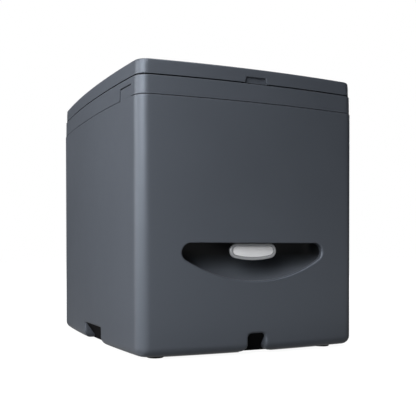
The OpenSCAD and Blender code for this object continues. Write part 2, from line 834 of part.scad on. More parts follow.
module bottle_shoulder() {
  color(milky) difference() {
    union() {
      intersection() {
        bottle_block(0, bottle_top);
        translate([0, 0, shoulder_z]) linear_extrude(height = bottle_t) square(2 * bottle_w, center = true);
      }
      // carrying handles moulded on the shoulder
      both_sides() translate([bottle_w / 2 - 44, neck_y, bottle_top - 2]) rotate([90, 0, 0])
        rotate_extrude(angle = 180) translate([22, 0]) circle(r = 5);
    }
    translate([0, neck_y, shoulder_z - 1]) cylinder(r = neck_r - bottle_t, h = bottle_t + 2);
  }
}

module bottle_neck() {
  color(milky) translate([0, neck_y, bottle_top]) difference() {
    cylinder(r = neck_r, h = neck_top - bottle_top);
    translate([0, 0, -1]) cylinder(r = neck_r - bottle_t, h = neck_top - bottle_top + 2);
  }
}

// ---------- Vent ----------

fan_screw_end = rear_y - wall - 1.5;
fan_bore = fan_w / 2 - 2;

module vent_port() {
  color(dark) difference() {
    union() {
      rod_y(vent_x, vent_z, vent_r + 3, vent_y1, rear_at(vent_z) + 1);
      rod_y(vent_x, vent_z, vent_r + 7, rear_at(vent_z) + 0.4, rear_at(vent_z) + 2.4);
    }
    rod_y(vent_x, vent_z, vent_r, vent_y1 + 2, rear_y + 3);
    // grille: slots between the bars at the port's inner end
    for (i = [-2:2]) let (half = sqrt(vent_r * vent_r - pow(i * 7, 2)) - 2)
      translate([vent_x - half, vent_y1 - 1, vent_z + i * 7 - 2]) cube([2 * half, 4, 4]);
  }
}

module fan_housing() {
  c = fan_w / 2;
  color(dark) difference() {
    translate([vent_x - c, fan_y0, vent_z - c]) cube([fan_w, fan_t, fan_w]);
    difference() {
      rod_y(vent_x, vent_z, fan_bore, fan_y0 - 1, fan_y1 + 1);
      // motor mount on three spokes at the rear
      rod_y(vent_x, vent_z, 11, fan_y1 - 2.5, fan_y1 + 2);
      for (a = [30, 150, 270]) translate([vent_x, fan_y1 - 2.5, vent_z]) rotate([0, a, 0])
        translate([0, 0, -1.5]) cube([fan_bore + 1, 4, 3]);
    }
    rod_y(vent_x, vent_z, 1.5 + run, fan_y1 - 4, fan_y1 + 2);
    at_fan_screws() rod_y(0, 0, screw_r + 0.2, fan_y0 - 1, fan_y1 + 1);
  }
}

module fan_rotor() {
  y1 = fan_y1 - 3;
  color([0.1, 0.1, 0.11]) {
    rod_y(vent_x, vent_z, 10.5, fan_y0 + 1, y1);
    rod_y(vent_x, vent_z, 1.5, y1 - e, fan_y1 - 0.3);
    for (i = [0:fan_blades - 1])
      translate([vent_x, (fan_y0 + 1 + y1) / 2, vent_z]) rotate([0, 360 * i / fan_blades, 0])
        translate([9, 0, 0]) rotate([38, 0, 0]) translate([0, -0.7, -6]) cube([fan_bore - 10.5, 1.4, 12]);
  }
}

module filter_holder() {
  c = fan_w / 2;
  color(grey) difference() {
    translate([vent_x - c, filter_y0, vent_z - c]) cube([fan_w, filter_y1 - filter_y0, fan_w]);
    rod_y(vent_x, vent_z, fan_bore - 3, filter_y0 + 2, filter_y1 + 1);
    for (x = [-2:2], z = [-2:2]) if (x * x + z * z < 6)
      rod_y(vent_x + 9 * x, vent_z + 9 * z, 3, filter_y0 - 1, filter_y0 + 3);
    at_fan_screws() rod_y(0, 0, screw_r + 0.2, filter_y0 - 1, filter_y1 + 1);
  }
}

module carbon_filter() {
  color([0.06, 0.06, 0.06]) rod_y(vent_x, vent_z, fan_bore - 3.3, filter_y0 + 2, filter_y1 - 0.2);
}

module fan_screws() {
  color(steel) at_fan_screws() {
    rod_y(0, 0, 3.4, filter_y0 - 2, filter_y0);
    rod_y(0, 0, screw_r, filter_y0 - e, fan_screw_end);
  }
}

// ---------- Seat frame ----------

bowl_y = body_y - 8;
bowl_a = hole_a + 4;        // half width of the bowl's mouth
bowl_b = hole_b + 4;
flange_w = 12;
flange_t = 2.5;
bowl_n = 2.5;
lip_z = base_top - 8;       // lower edge of the frame's locating lip
post_r = 4;
post_spots = [for (x = [-1, 1], y = [-1, 1]) [x * (seat_a - 25), y * (seat_b - 73)]];

module frame_gasket() {
  color([0.1, 0.1, 0.11]) wall_ring(ledge_z, lip_z - seat_gap, wall + 1.2, wall + 3.8);
}

// Window in the left side of the band
module latch_window() {
  rear = 1.8;
  front = 0.4;
  y = body_y + latch_y - latch_w / 2;
  z = lip_z - 5;
  translate([-body_w / 2 - 5, y - front, z]) cube([22, latch_w + rear + front, base_h + latch_h - z]);
}

// Catch that the latch nose hooks over, under the deck
module latch_catch() {
  x = -half_at(latch_y);
  translate([x + wall - 1, body_y + latch_y - 10, base_h + latch_h + 0.6])
    cube([latch_stem_in - wall - 0.3, 20, deck_z - base_h - latch_h - 1.6]);
}

module seat_frame() {
  chamfer = 0.8;
  color(grey) difference() {
    union() {
      difference() {
        loft([
          [band_z, outline(chamfer, corner_r - chamfer)], [band_z + chamfer, outline(0, corner_r)],
          [deck_z - 1.2, outline(0, corner_r)],
          [deck_z - 0.35, outline(0.35, corner_r)],
          [deck_z, outline(1.2, corner_r - 1)]]);
        body_block(band_z - 1, deck_z - deck_t, wall);
      }
      // locating lip inside the base's wall
      wall_ring(lip_z, band_z + 4, wall + 0.6, wall + 3);
      wall_ring(band_z, band_z + 4, wall - 0.5, wall + 1);
      // hanging rim that stiffens the opening
      difference() {
        loft([for (z = [deck_z - 14, deck_z - deck_t + e])
          [z, oval(bowl_a + 9, bowl_b + 9, bowl_n, bowl_y)]]);
        loft([for (z = [deck_z - 20, deck_z]) [z, oval(bowl_a + 6, bowl_b + 6, bowl_n, bowl_y)]]);
      }
      both_sides() latch_catch();
      for (s = [-1, 1]) {
        middle_knuckle(s * hinge_x, frame_axis_z, hinge_r);
        outer_knuckles(s * lid_hinge_x, lid_axis_z, hinge_r);
      }
    }
    // opening, and the step that the bowl hangs in
    loft([for (z = [deck_z - deck_t - 5, deck_z + 1]) [z, oval(bowl_a + 3, bowl_b + 3, bowl_n, bowl_y)]]);
    loft([for (z = [deck_z - flange_t - 0.2, deck_z + 1])
      [z, oval(bowl_a + flange_w + 0.5, bowl_b + flange_w + 0.5, bowl_n, bowl_y)]]);
    both_sides() latch_window();
    for (p = post_spots) translate([p[0], bowl_y + p[1], deck_z - deck_t - 1])
      cylinder(r = post_r + 0.2, h = deck_t + 2);
    for (s = [-1, 1]) {
      outer_knuckles(s * hinge_x, frame_axis_z, hinge_r + 0.5, knuckle_gap);
      pin_hole(s * hinge_x, frame_axis_z);
      middle_knuckle(s * lid_hinge_x, lid_axis_z, hinge_r + 0.5, knuckle_gap);
      pin_hole(s * lid_hinge_x, lid_axis_z);
    }
  }
}

module frame_hinge_pins() {
  color(steel) hinge_pins(hinge_x, frame_axis_z);
}

// ---------- Diverter bowl ----------

chute_z = deck_z - 88;      // lower edge of the solids chute
spout_r = 11;
crest_y = bowl_y - 22;      // wall between urine funnel and solids chute
crest_z = deck_z - 38;
funnel_z = deck_z - 79;     // where the funnel meets the spout
funnel_slope = 0.35;
bowl_t = 2.5;

module bowl_loft(g) {
  n = bowl_n;
  loft([
    [chute_z - (g > 0 ? 1 : 0), oval(bowl_a - 20 - g, bowl_b - 26 - g, n, bowl_y)],
    [deck_z - 55, oval(bowl_a - 14 - g, bowl_b - 20 - g, n, bowl_y)],
    [deck_z - 22, oval(bowl_a - 5 - g, bowl_b - 7 - g, n, bowl_y)],
    [deck_z - 0.2 + (g > 0 ? 1 : 0), oval(bowl_a - g, bowl_b - g, n, bowl_y)]]);
}

// Solid above the funnel's cone, raised by g
module above_funnel(g) {
  r = body_w;
  translate([0, neck_y, funnel_z + g]) cylinder(r1 = spout_r, r2 = r, h = (r - spout_r) * funnel_slope);
}

// Everything in front of y, or behind it
module front_of(y) {
  translate([-body_w / 2, y - body_d, chute_z - 5]) cube([body_w, body_d, top_z - chute_z]);
}

module behind(y) {
  translate([-body_w / 2, y, chute_z - 5]) cube([body_w, body_d, top_z - chute_z]);
}

module diverter_bowl() {
  color([0.93, 0.93, 0.92]) difference() {
    union() {
      // flange in the deck's step
      loft([for (z = [deck_z - flange_t - 0.1, deck_z - 0.2])
        [z, oval(bowl_a + flange_w, bowl_b + flange_w, bowl_n, bowl_y)]]);
      intersection() {
        bowl_loft(0);
        union() {
          intersection() {
            above_funnel(0);
            front_of(crest_y);
          }
          behind(crest_y - bowl_t);
        }
      }
      translate([0, neck_y, neck_top - 6]) cylinder(r = spout_r + bowl_t, h = funnel_z - neck_top + 8);
    }
    intersection() {
      bowl_loft(bowl_t);
      union() {
        intersection() {
          above_funnel(bowl_t);
          front_of(crest_y - bowl_t);
        }
        behind(crest_y);
        translate([-body_w / 2, crest_y - 10, crest_z]) cube([body_w, 20, top_z - crest_z]);
      }
    }
    translate([0, neck_y, neck_top - 10]) cylinder(r = spout_r, h = 40);
  }
}

// ---------- Seat ----------

seat_z = deck_z + seat_gap;

module seat_ring() {
  z = seat_z;
  n = 3;
  color(grey) {
    difference() {
      loft([
        [z, oval(seat_a - 2, seat_b - 2, n, bowl_y)],
        [z + 1.5, oval(seat_a, seat_b, n, bowl_y)],
        [z + seat_t - 5, oval(seat_a, seat_b, n, bowl_y)],
        [z + seat_t - 2, oval(seat_a - 2.5, seat_b - 2.5, n, bowl_y)],
        [z + seat_t - 0.6, oval(seat_a - 8, seat_b - 8, n, bowl_y)],
        [z + seat_t, oval(seat_a - 18, seat_b - 16, n, bowl_y)]]);
      loft([
        [z - 1, oval(hole_a, hole_b, bowl_n, bowl_y)],
        [z + seat_t - 7, oval(hole_a, hole_b, bowl_n, bowl_y)],
        [z + seat_t - 3, oval(hole_a + 3, hole_b + 3, bowl_n, bowl_y)],
        [z + seat_t - 1, oval(hole_a + 8, hole_b + 8, bowl_n, bowl_y)],
        [z + seat_t + 1, oval(hole_a + 18, hole_b + 18, bowl_n, bowl_y)]]);
    }
    for (p = post_spots) translate([p[0], bowl_y + p[1], deck_z - deck_t - 2])
      cylinder(r = post_r, h = deck_t + 4);
  }
}

// ---------- Latches ----------

// Left latch: tab in the window, web over the frame's lip, stem down to its pin
module latch() {
  x = -half_at(latch_y);
  y = body_y + latch_y;
  stem_x = x + latch_stem_in;
  web_w = latch_w - 10;
  nose_w = latch_stem_w - 4;
  difference() {
    union() {
      intersection() {
        wall_ring(base_top + seat_gap, base_h + latch_h - 1.5, 1.2, 4.2);
        translate([-body_w / 2, y - latch_w / 2, base_top]) cube([30, latch_w, latch_h]);
      }
      translate([x + 3, y - web_w / 2, base_h + 4]) cube([latch_stem_in - 1, web_w, 4]);
      translate([stem_x, y - latch_stem_w / 2, latch_pivot_z])
        cube([3.5, latch_stem_w, deck_z - deck_t - 1 - latch_pivot_z]);
      translate([stem_x - 1, y - nose_w / 2, base_h + latch_h + 1]) cube([1.5, nose_w, 3]);
      rod_y(stem_x + 1.75, latch_pivot_z, 4.5, y - latch_stem_w / 2, y + latch_stem_w / 2);
    }
    latch_bores();
  }
}

module latch_left() {
  color(grey) latch();
}

module latch_right() {
  color(grey) mirror([1, 0, 0]) latch();
}

module latch_pins() {
  l = latch_stem_w / 2 + ear_gap + ear_t;
  color(steel) both_sides() rod_y(-half_at(latch_y) + latch_stem_in + 1.75, latch_pivot_z, latch_pin_r,
    body_y + latch_y - l, body_y + latch_y + l);
}

// ---------- Lid ----------

crown_edge_z = top_z - crown_h;                                // where the crown starts
lid_arc_z = crown_edge_z - lid_edge_r * cos(crown_slope);      // centre height of the edge's round
crown_in = lid_inset + lid_edge_r * (1 - sin(crown_slope));

// Rings of the lid's skin moved in by g: round at the steps ts, crown at the steps ss
function lid_rings(g, ts, ss) = let (r = max(lid_edge_r - g, 1)) concat(
  [for (t = ts) let (a = t * (90 - crown_slope), d = r * (1 - cos(a)))
    [lid_arc_z + r * sin(a), outline(lid_inset + g + d, corner_r - g - d)]],
  [for (s = ss) [crown_edge_z - g + crown_h * (1 - (1 - s) * (1 - s)),
    outline(crown_in + g + crown_w * s, corner_r)]]);

liner_t = 2;
liner_z = top_z - lid_t - 3.5 - liner_t;
liner_in = 16;
liner_x = body_w / 2 - 40;  // screws near the liner's corners
liner_y = body_d / 2 - 45;
liner_spots = [[0, -liner_y - 15], for (x = [-1, 1], y = [-1, 1]) [x * liner_x, y * liner_y]];

module lid_grip() {
  w0 = grip_w / 2;
  w1 = w0 - 3.2;
  along_y(front_y - 1, front_y + lid_inset + 3.5)
    polygon([[-w0 - 0.5, lid_z - 1], [w0 + 0.5, lid_z - 1], [w1, lid_z + grip_h], [-w1, lid_z + grip_h]]);
}

module lid_shell() {
  chamfer = 0.6;
  color(grey) difference() {
    union() {
      difference() {
        loft(concat([[lid_z, outline(lid_inset + chamfer, corner_r - chamfer)],
          [lid_z + chamfer, outline(lid_inset, corner_r)]],
          lid_rings(0, [0, 0.3, 0.65, 1], [0.2, 0.5, 0.8, 1])));
        loft(concat([[lid_z - 1, outline(lid_inset + lid_t, corner_r - lid_t)]],
          lid_rings(lid_t, [0, 0.5, 1], [0.4, 1])));
      }
      // backing of the finger notch
      intersection() {
        body_block(lid_z, crown_edge_z, lid_inset + 1);
        translate([-grip_w / 2 - 4, front_y, lid_z]) cube([grip_w + 8, lid_inset + 6.5, grip_h + 5]);
      }
      // bosses for the liner's screws
      for (p = liner_spots) translate([p[0], body_y + p[1], liner_z + liner_t])
        cylinder(r = 4, h = top_z - 2 - liner_z - liner_t);
      for (s = [-1, 1]) middle_knuckle(s * lid_hinge_x, lid_axis_z, hinge_r);
    }
    lid_grip();
    for (p = liner_spots) translate([p[0], body_y + p[1], liner_z]) cylinder(r = screw_r, h = 6);
    for (s = [-1, 1]) {
      outer_knuckles(s * lid_hinge_x, lid_axis_z, hinge_r + 0.5, knuckle_gap);
      pin_hole(s * lid_hinge_x, lid_axis_z);
    }
  }
}

module lid_liner() {
  color(dark) difference() {
    body_block(liner_z, liner_z + liner_t, liner_in);
    for (p = liner_spots) translate([p[0], body_y + p[1], liner_z - 1])
      cylinder(r = screw_r + 0.2, h = liner_t + 2);
  }
}

module lid_gasket() {
  z = seat_z + seat_t + seat_gap;
  out_x = 26;               // from the seat's hole to the gasket
  out_y = 22;
  w = 8;
  n = 2.8;
  color([0.1, 0.1, 0.11]) difference() {
    loft([for (k = [z, liner_z]) [k, oval(hole_a + out_x + w, hole_b + out_y + w, n, bowl_y)]]);
    loft([for (k = [z - 1, liner_z + 1]) [k, oval(hole_a + out_x, hole_b + out_y, n, bowl_y)]]);
  }
}

module liner_screws() {
  color(steel) for (p = liner_spots) translate([p[0], body_y + p[1], 0]) {
    translate([0, 0, liner_z - 1.6]) cylinder(r = 3, h = 1.6);
    translate([0, 0, liner_z - e]) cylinder(r = screw_r, h = 5.5);
  }
}

module lid_hinge_pins() {
  color(steel) hinge_pins(lid_hinge_x, lid_axis_z);
}

base_floor();
base_front();
base_sides();
base_rear();
bin_cradles();
recess_pan();
pan_screws();
rubber_feet();
dc_inlet();
rod_bush();
pull_rod();
crank_handle();
handle_plate();
solids_bin();
front_bush();
rear_bush();
agitator_shaft();
stirrer_arms();
bottle_front();
bottle_rear();
bottle_shoulder();
bottle_neck();
vent_port();
fan_housing();
fan_rotor();
filter_holder();
carbon_filter();
fan_screws();
frame_gasket();
seat_frame();
frame_hinge_pins();
diverter_bowl();
seat_ring();
latch_left();
latch_right();
latch_pins();
lid_shell();
lid_liner();
lid_gasket();
liner_screws();
lid_hinge_pins();
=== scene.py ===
"""Looks of the composting toilet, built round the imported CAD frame.

Lengths are millimetres in the CAD frame, X to the right, Y to the rear, Z up, and add_piece() turns
them into metres. Lengths in shaders, lamps and the camera are metres. A shell is one closed surface:
rows of points that follow its cross-section, each row a closed line round the body.
"""

import json
import math

import bmesh
import bpy
import numpy as np
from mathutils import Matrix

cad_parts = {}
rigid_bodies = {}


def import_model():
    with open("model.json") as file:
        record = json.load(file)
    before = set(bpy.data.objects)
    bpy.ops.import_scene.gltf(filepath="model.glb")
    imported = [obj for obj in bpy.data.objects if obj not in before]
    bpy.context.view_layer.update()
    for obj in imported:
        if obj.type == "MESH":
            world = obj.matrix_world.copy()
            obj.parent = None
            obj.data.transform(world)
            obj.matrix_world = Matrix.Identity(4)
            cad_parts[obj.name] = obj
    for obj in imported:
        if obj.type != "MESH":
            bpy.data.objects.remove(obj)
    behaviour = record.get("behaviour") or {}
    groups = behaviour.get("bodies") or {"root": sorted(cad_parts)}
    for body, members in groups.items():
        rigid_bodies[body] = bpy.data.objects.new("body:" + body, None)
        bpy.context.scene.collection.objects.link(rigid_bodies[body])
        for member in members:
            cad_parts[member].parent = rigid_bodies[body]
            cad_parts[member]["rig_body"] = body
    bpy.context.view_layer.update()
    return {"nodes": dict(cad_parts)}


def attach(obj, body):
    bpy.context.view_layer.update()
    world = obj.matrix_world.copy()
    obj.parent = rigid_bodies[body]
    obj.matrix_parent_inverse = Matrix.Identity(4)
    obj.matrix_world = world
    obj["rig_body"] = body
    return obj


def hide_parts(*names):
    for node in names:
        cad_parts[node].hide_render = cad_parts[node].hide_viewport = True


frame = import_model()

# ---------- Sizes: the CAD part's, with small departures that follow the photograph ----------

BODY_W, BODY_D, BASE_H = 380.0, 425.0, 364.0
SIDE_BOW, FRONT_BOW, CORNER_R = 10.3, 12.0, 20.0
DRAFT = math.tan(math.radians(0.75))
WALL, BOTTOM_R, PART_GAP, RIM_R = 4.0, 12.0, 1.0, 0.6
LEDGE_TOP, LEDGE_LOW, LEDGE_IN = 351.5, 348.5, 9.0
BAND_H, BAND_IN, BAND_TOP_R, BAND_LOW_R, DECK_T = 27.0, 0.8, 0.7, 0.5, 4.0
SEAT_A, SEAT_B, SEAT_N, SEAT_T, HOLE_A, HOLE_B = 165.0, 188.0, 3.0, 13.0, 104.0, 134.0
LID_GAP, LID_H, LID_INSET, LID_T, LID_EDGE_R, LID_LOW_R = 2.0, 25.5, 2.0, 2.5, 2.6, 0.4
CROWN_H, CROWN_W = 4.5, 35.0
GRIP_W, GRIP_H, GRIP_D, GRIP_TAPER, GRIP_REACH, GRIP_WALL = 37.6, 8.6, 3.5, 3.7, 40.0, 3.0
SMILE_A, SMILE_TOP, SMILE_LOW, SMILE_R = 115.6, 160.1, 105.8, 13.0
LIP_R, PAN_T, PAN_D, PAN_UP, PAN_FLANGE, PAN_CORNER_R, PAN_GAP = 3.4, 2.5, 50.0, 46.0, 13.0, 20.0, 0.1
SHAFT_Z, KNOB_W, KNOB_H, KNOB_END_R, KNOB_T = 147.4, 75.8, 24.8, 11.0, 7.0
KNOB_IN, KNOB_RIM, KNOB_GAP, KNOB_FRONT_R, KNOB_REAR_R = 10.0, 4.0, 0.15, 1.1, 2.6
SHELL_Z, FLOOR_TOP, NOTCH_H, NOTCH_D, NOTCH_FLARE = 4.8, 5.5, 31.0, 18.0, 10.0
NOTCH_CEILING_D, NOTCH_BACK_Z = 2.0, 9.0
FRONT_NOTCH_W, SIDE_NOTCH_W, SIDE_NOTCH_Y, FRONT_NOTCH_R, SIDE_NOTCH_R = 29.0, 85.0, -7.5, 7.0, 2.5
FOOT_X, FOOT_Y, FOOT_R = 140.0, 165.0, 12.0
LATCH_W, LATCH_H, LATCH_Y = 38.0, 18.0, -157.5
HINGE_R, HINGE_ROOM, PIN_R, PIN_GAP, HINGE_X, LID_HINGE_X = 5.0, 0.5, 2.0, 0.05, 90.0, 45.0
KNUCKLE_W, KNUCKLE_MID, KNUCKLE_GAP, KNUCKLE_EDGE = 9.0, 14.0, 0.4, 0.6

BODY_Y = -HINGE_R / 2
BASE_TOP = BASE_H - PART_GAP / 2
BAND_Z = BASE_H + PART_GAP / 2
DECK_Z = BASE_H + BAND_H
LID_Z = DECK_Z + LID_GAP
TOP_Z = LID_Z + LID_H
FRONT_Y = BODY_Y - BODY_D / 2
REAR_Y = BODY_Y + BODY_D / 2
LID_AXIS_Z = DECK_Z + LID_GAP / 2
BOWL_Y, BOWL_A, BOWL_B, BOWL_N = BODY_Y - 8, HOLE_A + 4, HOLE_B + 4, 2.5
CROWN_SLOPE = math.atan(2 * CROWN_H / CROWN_W)
CROWN_EDGE_Z = TOP_Z - CROWN_H
LID_ARC_Z = CROWN_EDGE_Z - LID_EDGE_R * math.cos(CROWN_SLOPE)
CROWN_IN = LID_INSET + LID_EDGE_R * (1 - math.sin(CROWN_SLOPE))


def arc_radius(half_chord, rise):
    """Radius of the arc with that half chord and rise."""
    return (half_chord**2 + rise**2) / (2 * rise)


SIDE_ARC = arc_radius(BODY_D / 2, SIDE_BOW)
FRONT_ARC = arc_radius(BODY_W / 2, FRONT_BOW)


def draft_in(z):
    """How far the drafted wall of the base stands inside its top edge at height z."""
    return np.maximum(0, BASE_TOP - z) * DRAFT


FACE_Y = FRONT_Y + float(draft_in(SHAFT_Z))

# ---------- Meshes ----------


def add_object(name, data):
    """An object with that data, in the scene."""
    thing = bpy.data.objects.new(name, data)
    bpy.context.scene.collection.objects.link(thing)
    return thing


def rework(mesh, merge=None, flat=None, sharp=None, outward=False):
    """Merges points within merge, in metres, and joins faces that turn less than flat degrees.

    With sharp, smooths the faces and keeps edges that turn more than sharp degrees.
    """
    work = bmesh.new()
    work.from_mesh(mesh)
    if merge:
        bmesh.ops.remove_doubles(work, verts=work.verts, dist=merge)
        bmesh.ops.dissolve_degenerate(work, edges=work.edges, dist=1e-7)
    if flat:
        bmesh.ops.dissolve_limit(work, angle_limit=math.radians(flat), verts=work.verts, edges=work.edges)
    if sharp:
        limit = math.radians(sharp)
        for edge in work.edges:
            edge.smooth = len(edge.link_faces) == 2 and edge.calc_face_angle(0) < limit
        for face in work.faces:
            face.smooth = True
    if outward:
        bmesh.ops.recalc_face_normals(work, faces=work.faces)
    work.to_mesh(mesh)
    work.free()


def add_piece(name, points, faces, material, body, nodes=(), caps=(), painted_shade_faces=None):
    """A mesh piece from points in mm and four-cornered faces; caps are flat faces with many corners.

    inlay is a second material and a truth value for each face that gets it; that material is painted shade.
    """
    mesh = bpy.data.meshes.new(name)
    points = np.asarray(points, float).reshape(-1, 3) * 0.001
    faces = np.asarray(faces, int).reshape(-1, 4)
    mesh.from_pydata(points.tolist(), [], faces.tolist() + [list(map(int, c)) for c in caps])
    if painted_shade_faces:
        chosen = np.append(painted_shade_faces[1], np.zeros(len(caps), bool))
        mesh.polygons.foreach_set("material_index", chosen.astype(int))
    rework(mesh, merge=2e-6, sharp=38)
    piece = add_object(name, mesh)
    mesh.materials.append(material)
    if painted_shade_faces:
        mesh.materials.append(painted_shade_faces[0])
    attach(piece, body)
    if nodes:
        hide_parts(*nodes)
    return piece


def numbers(grid):
    """The numbers of a grid's points."""
    return np.arange(grid.shape[0] * grid.shape[1]).reshape(grid.shape[:2])


def grid_faces(ids, close_rows=False):
    """Faces between neighbouring rows and columns of a grid of point numbers; each row is closed."""
    ids = np.hstack([ids, ids[:, :1]])
    if close_rows:
        ids = np.vstack([ids, ids[:1]])
    return np.stack([ids[:-1, :-1], ids[:-1, 1:], ids[1:, 1:], ids[1:, :-1]], -1)


def add_skin(name, rows, material, body, nodes, flip=False, close_rows=False):
    """A piece from rows of points; flip turns its faces the other way."""
    grid = np.stack(rows)
    faces = grid_faces(numbers(grid), close_rows)
    return add_piece(name, grid, faces[..., ::-1] if flip else faces, material, body, nodes)


def soften(piece, width, angle):
    """Rounds the piece's edges that turn more than angle degrees."""
    bevel = piece.modifiers.new("edge round", "BEVEL")
    bevel.width = width * 0.001
    bevel.segments = 2
    bevel.limit_method = "ANGLE"
    bevel.angle_limit = math.radians(angle)
    bevel.harden_normals = False
    bevel.use_clamp_overlap = True


# ---------- Outlines and sections ----------


def round_over(r, count):
    """Pairs along a quarter round of radius r, from (r, 0) to (0, r)."""
    return [(r * (1 - math.sin(t)), r * (1 - math.cos(t))) for t in np.radians(np.linspace(0, 90, count))]


def turned(profile, axis, centre, count=48):
    """Rows of points: a profile of (place along the axis, radius) turned round the axis through centre."""
    turn = np.linspace(0, 2 * math.pi, count + 1)[:-1]
    along, r = np.array(profile, float).T[:, :, None]
    across = [k for k in range(3) if k != axis]
    grid = np.empty((len(profile), count, 3))
    grid[..., axis] = along
    grid[..., across[0]], grid[..., across[1]] = r * np.cos(turn), r * np.sin(turn)
    return grid + centre


def drawn_in(row, shares):
    """Copies of a row at those shares of its level distance from the body's middle."""
    middle = np.array([0, BODY_Y, 0])
    return [middle + (row - middle) * [s, s, 1] for s in shares]


def meet(p, rp, q, rq):
    """Where the circles round p, of radius rp, and q, of radius rq, cross on the right of p to q."""
    d = np.linalg.norm(q - p)
    along = (rp * rp - rq * rq + d * d) / (2 * d)
    across = math.sqrt(rp * rp - along * along)
    u = (q - p) / d
    return p + along * u + across * np.array([u[1], -u[0]])


# values that stand for the ends of the front and side arcs, wherever the inset puts them
FRONT_END, SIDE_END = 170.0, 192.0


class Columns:
    """The columns of a band round the body, counter-clockwise from the middle of the front.

    part is 0 on the front arc, where value is x; 1 on the front corner, where it is a share;
    2 on the side arc, where it is y from the body's middle; 3 on the rear corner and 4 on
    the straight rear, where it is a share. hand is 1 on the right and -1 on the left.
    """

    def __init__(self, front, side, corner=12, front_fixed=130.0, side_fixed=(-180.0, 120.0)):
        share, rear = np.linspace(0, 1, corner + 1), (0.2, 0.4, 0.6, 0.8, 1.0)
        part = np.concatenate([np.full(len(v), k) for k, v in enumerate([front, share, side, share, rear])])
        value = np.concatenate([front, share, side, share, rear]).astype(float)
        self.half = len(part)
        back = np.arange(self.half - 2, 0, -1)
        self.part = np.concatenate([part, part[back]])
        self.value = np.concatenate([value, value[back]])
        self.hand = np.concatenate([np.ones(self.half), -np.ones(len(back))])
        self.front_fixed, self.side_fixed = front_fixed, side_fixed

    def ring(self, inset, r, value=None):
        """x and y of each column on the outline that is moved in by inset, with corner radius r."""
        value = self.value if value is None else value
        r = max(r, 2.0)
        a, b = BODY_W / 2 - inset, BODY_D / 2 - inset
        rs, rf = SIDE_ARC - inset, FRONT_ARC - inset
        cs, cf = np.array([a - rs, 0.0]), np.array([0.0, rf - b])
        c1 = meet(cs, rs - r, cf, rf - r)
        c2 = np.array([cs[0] + math.sqrt((rs - r) ** 2 - (b - r) ** 2), b - r])
        front_end = math.atan2(c1[1] - cf[1], c1[0])
        side_start = math.atan2(c1[1], c1[0] - cs[0])
        side_end = math.atan2(c2[1], c2[0] - cs[0])
        # a column past the fixed stretch keeps its share of the way to the corner
        x_end = cf[0] + rf * math.cos(front_end)
        fixed = self.front_fixed
        x = np.where(value <= fixed, value, fixed + (value - fixed) * (x_end - fixed) / (FRONT_END - fixed))
        lo, hi = self.side_fixed
        y0, y1 = rs * math.sin(side_start), rs * math.sin(side_end)
        y = np.where(value < lo, lo + (value - lo) * (y0 - lo) / (-SIDE_END - lo), value)
        y = np.where(value > hi, hi + (value - hi) * (y1 - hi) / (SIDE_END - hi), y)
        part = self.part
        angle = np.select(
            [part == 0, part == 1, part == 2, part == 3],
            [-math.pi / 2 + np.arcsin(np.clip(x / rf, -1, 1)), front_end + (side_start - front_end) * value,
             np.arcsin(np.clip(y / rs, -1, 1)), side_end + (math.pi / 2 - side_end) * value], 0.0)
        cx = np.select([part == 0, part == 2, part == 1, part == 3], [cf[0], cs[0], c1[0], c2[0]], 0.0)
        cy = np.select([part == 0, part == 2, part == 1, part == 3], [cf[1], cs[1], c1[1], c2[1]], 0.0)
        radius = np.select([part == 0, part == 2], [rf, rs], r)
        px = np.where(part == 4, c2[0] * (1 - value), cx + radius * np.cos(angle))
        py = np.where(part == 4, b, cy + radius * np.sin(angle))
        return np.stack([self.hand * px, py + BODY_Y], -1)


def oval_at(directions, a, b, n):
    """Points of the superellipse of half axes a and b and power n round the bowl's middle."""
    rho = (np.abs(np.cos(directions) / a) ** n + np.abs(np.sin(directions) / b) ** n) ** (-1 / n)
    return np.stack([rho * np.cos(directions), BOWL_Y + rho * np.sin(directions)], -1)


def level(xy, z):
    """A row of points at height z."""
    return np.column_stack([xy, np.broadcast_to(z, len(xy))])


# ---------- Surface effects shared by the materials ----------


def new_group(name, inputs, outputs):
    """An empty shader group with float inputs {name: default} and outputs {name: socket type}."""
    tree = bpy.data.node_groups.new(name, "ShaderNodeTree")
    for label, default in inputs.items():
        socket = tree.interface.new_socket(label, in_out="INPUT", socket_type="NodeSocketFloat")
        socket.default_value = default
    for label, kind in outputs.items():
        tree.interface.new_socket(label, in_out="OUTPUT", socket_type=kind)
    return tree, tree.nodes.new("NodeGroupInput"), tree.nodes.new("NodeGroupOutput")


def feed(tree, socket, value):
    """Links a socket to value where that is a socket too, and otherwise sets it."""
    if isinstance(value, bpy.types.NodeSocket):
        tree.links.new(value, socket)
    elif value is not None:
        socket.default_value = value


def math_node(tree, operation, a, b=None, clamp=False):
    """A Math node; a and b are numbers or sockets. Gives its output."""
    node = tree.nodes.new("ShaderNodeMath")
    node.operation = operation
    node.use_clamp = clamp
    feed(tree, node.inputs[0], a)
    feed(tree, node.inputs[1], b)
    return node.outputs[0]


def plus(tree, a, b, clamp=False):
    return math_node(tree, "ADD", a, b, clamp)


def minus(tree, a, b):
    return math_node(tree, "SUBTRACT", a, b)


def times(tree, a, b):
    return math_node(tree, "MULTIPLY", a, b)


def larger(tree, a, b):
    return math_node(tree, "MAXIMUM", a, b)


def vector_node(tree, operation, a, b=None):
    """A Vector Math node on the socket a; b is three numbers. Gives the node."""
    node = tree.nodes.new("ShaderNodeVectorMath")
    node.operation = operation
    feed(tree, node.inputs[0], a)
    feed(tree, node.inputs[1], b)
    return node


def on_object(tree):
    """The Object coordinates."""
    return tree.nodes.new("ShaderNodeTexCoord").outputs["Object"]


def noise(tree, vector, scale, detail=2.0, roughness=0.5):
    """A Noise texture; scale is a number or a socket, in features per metre."""
    node = tree.nodes.new("ShaderNodeTexNoise")
    for label, value in (("Vector", vector), ("Scale", scale), ("Detail", detail), ("Roughness", roughness)):
        feed(tree, node.inputs[label], value)
    return node.outputs["Fac"]


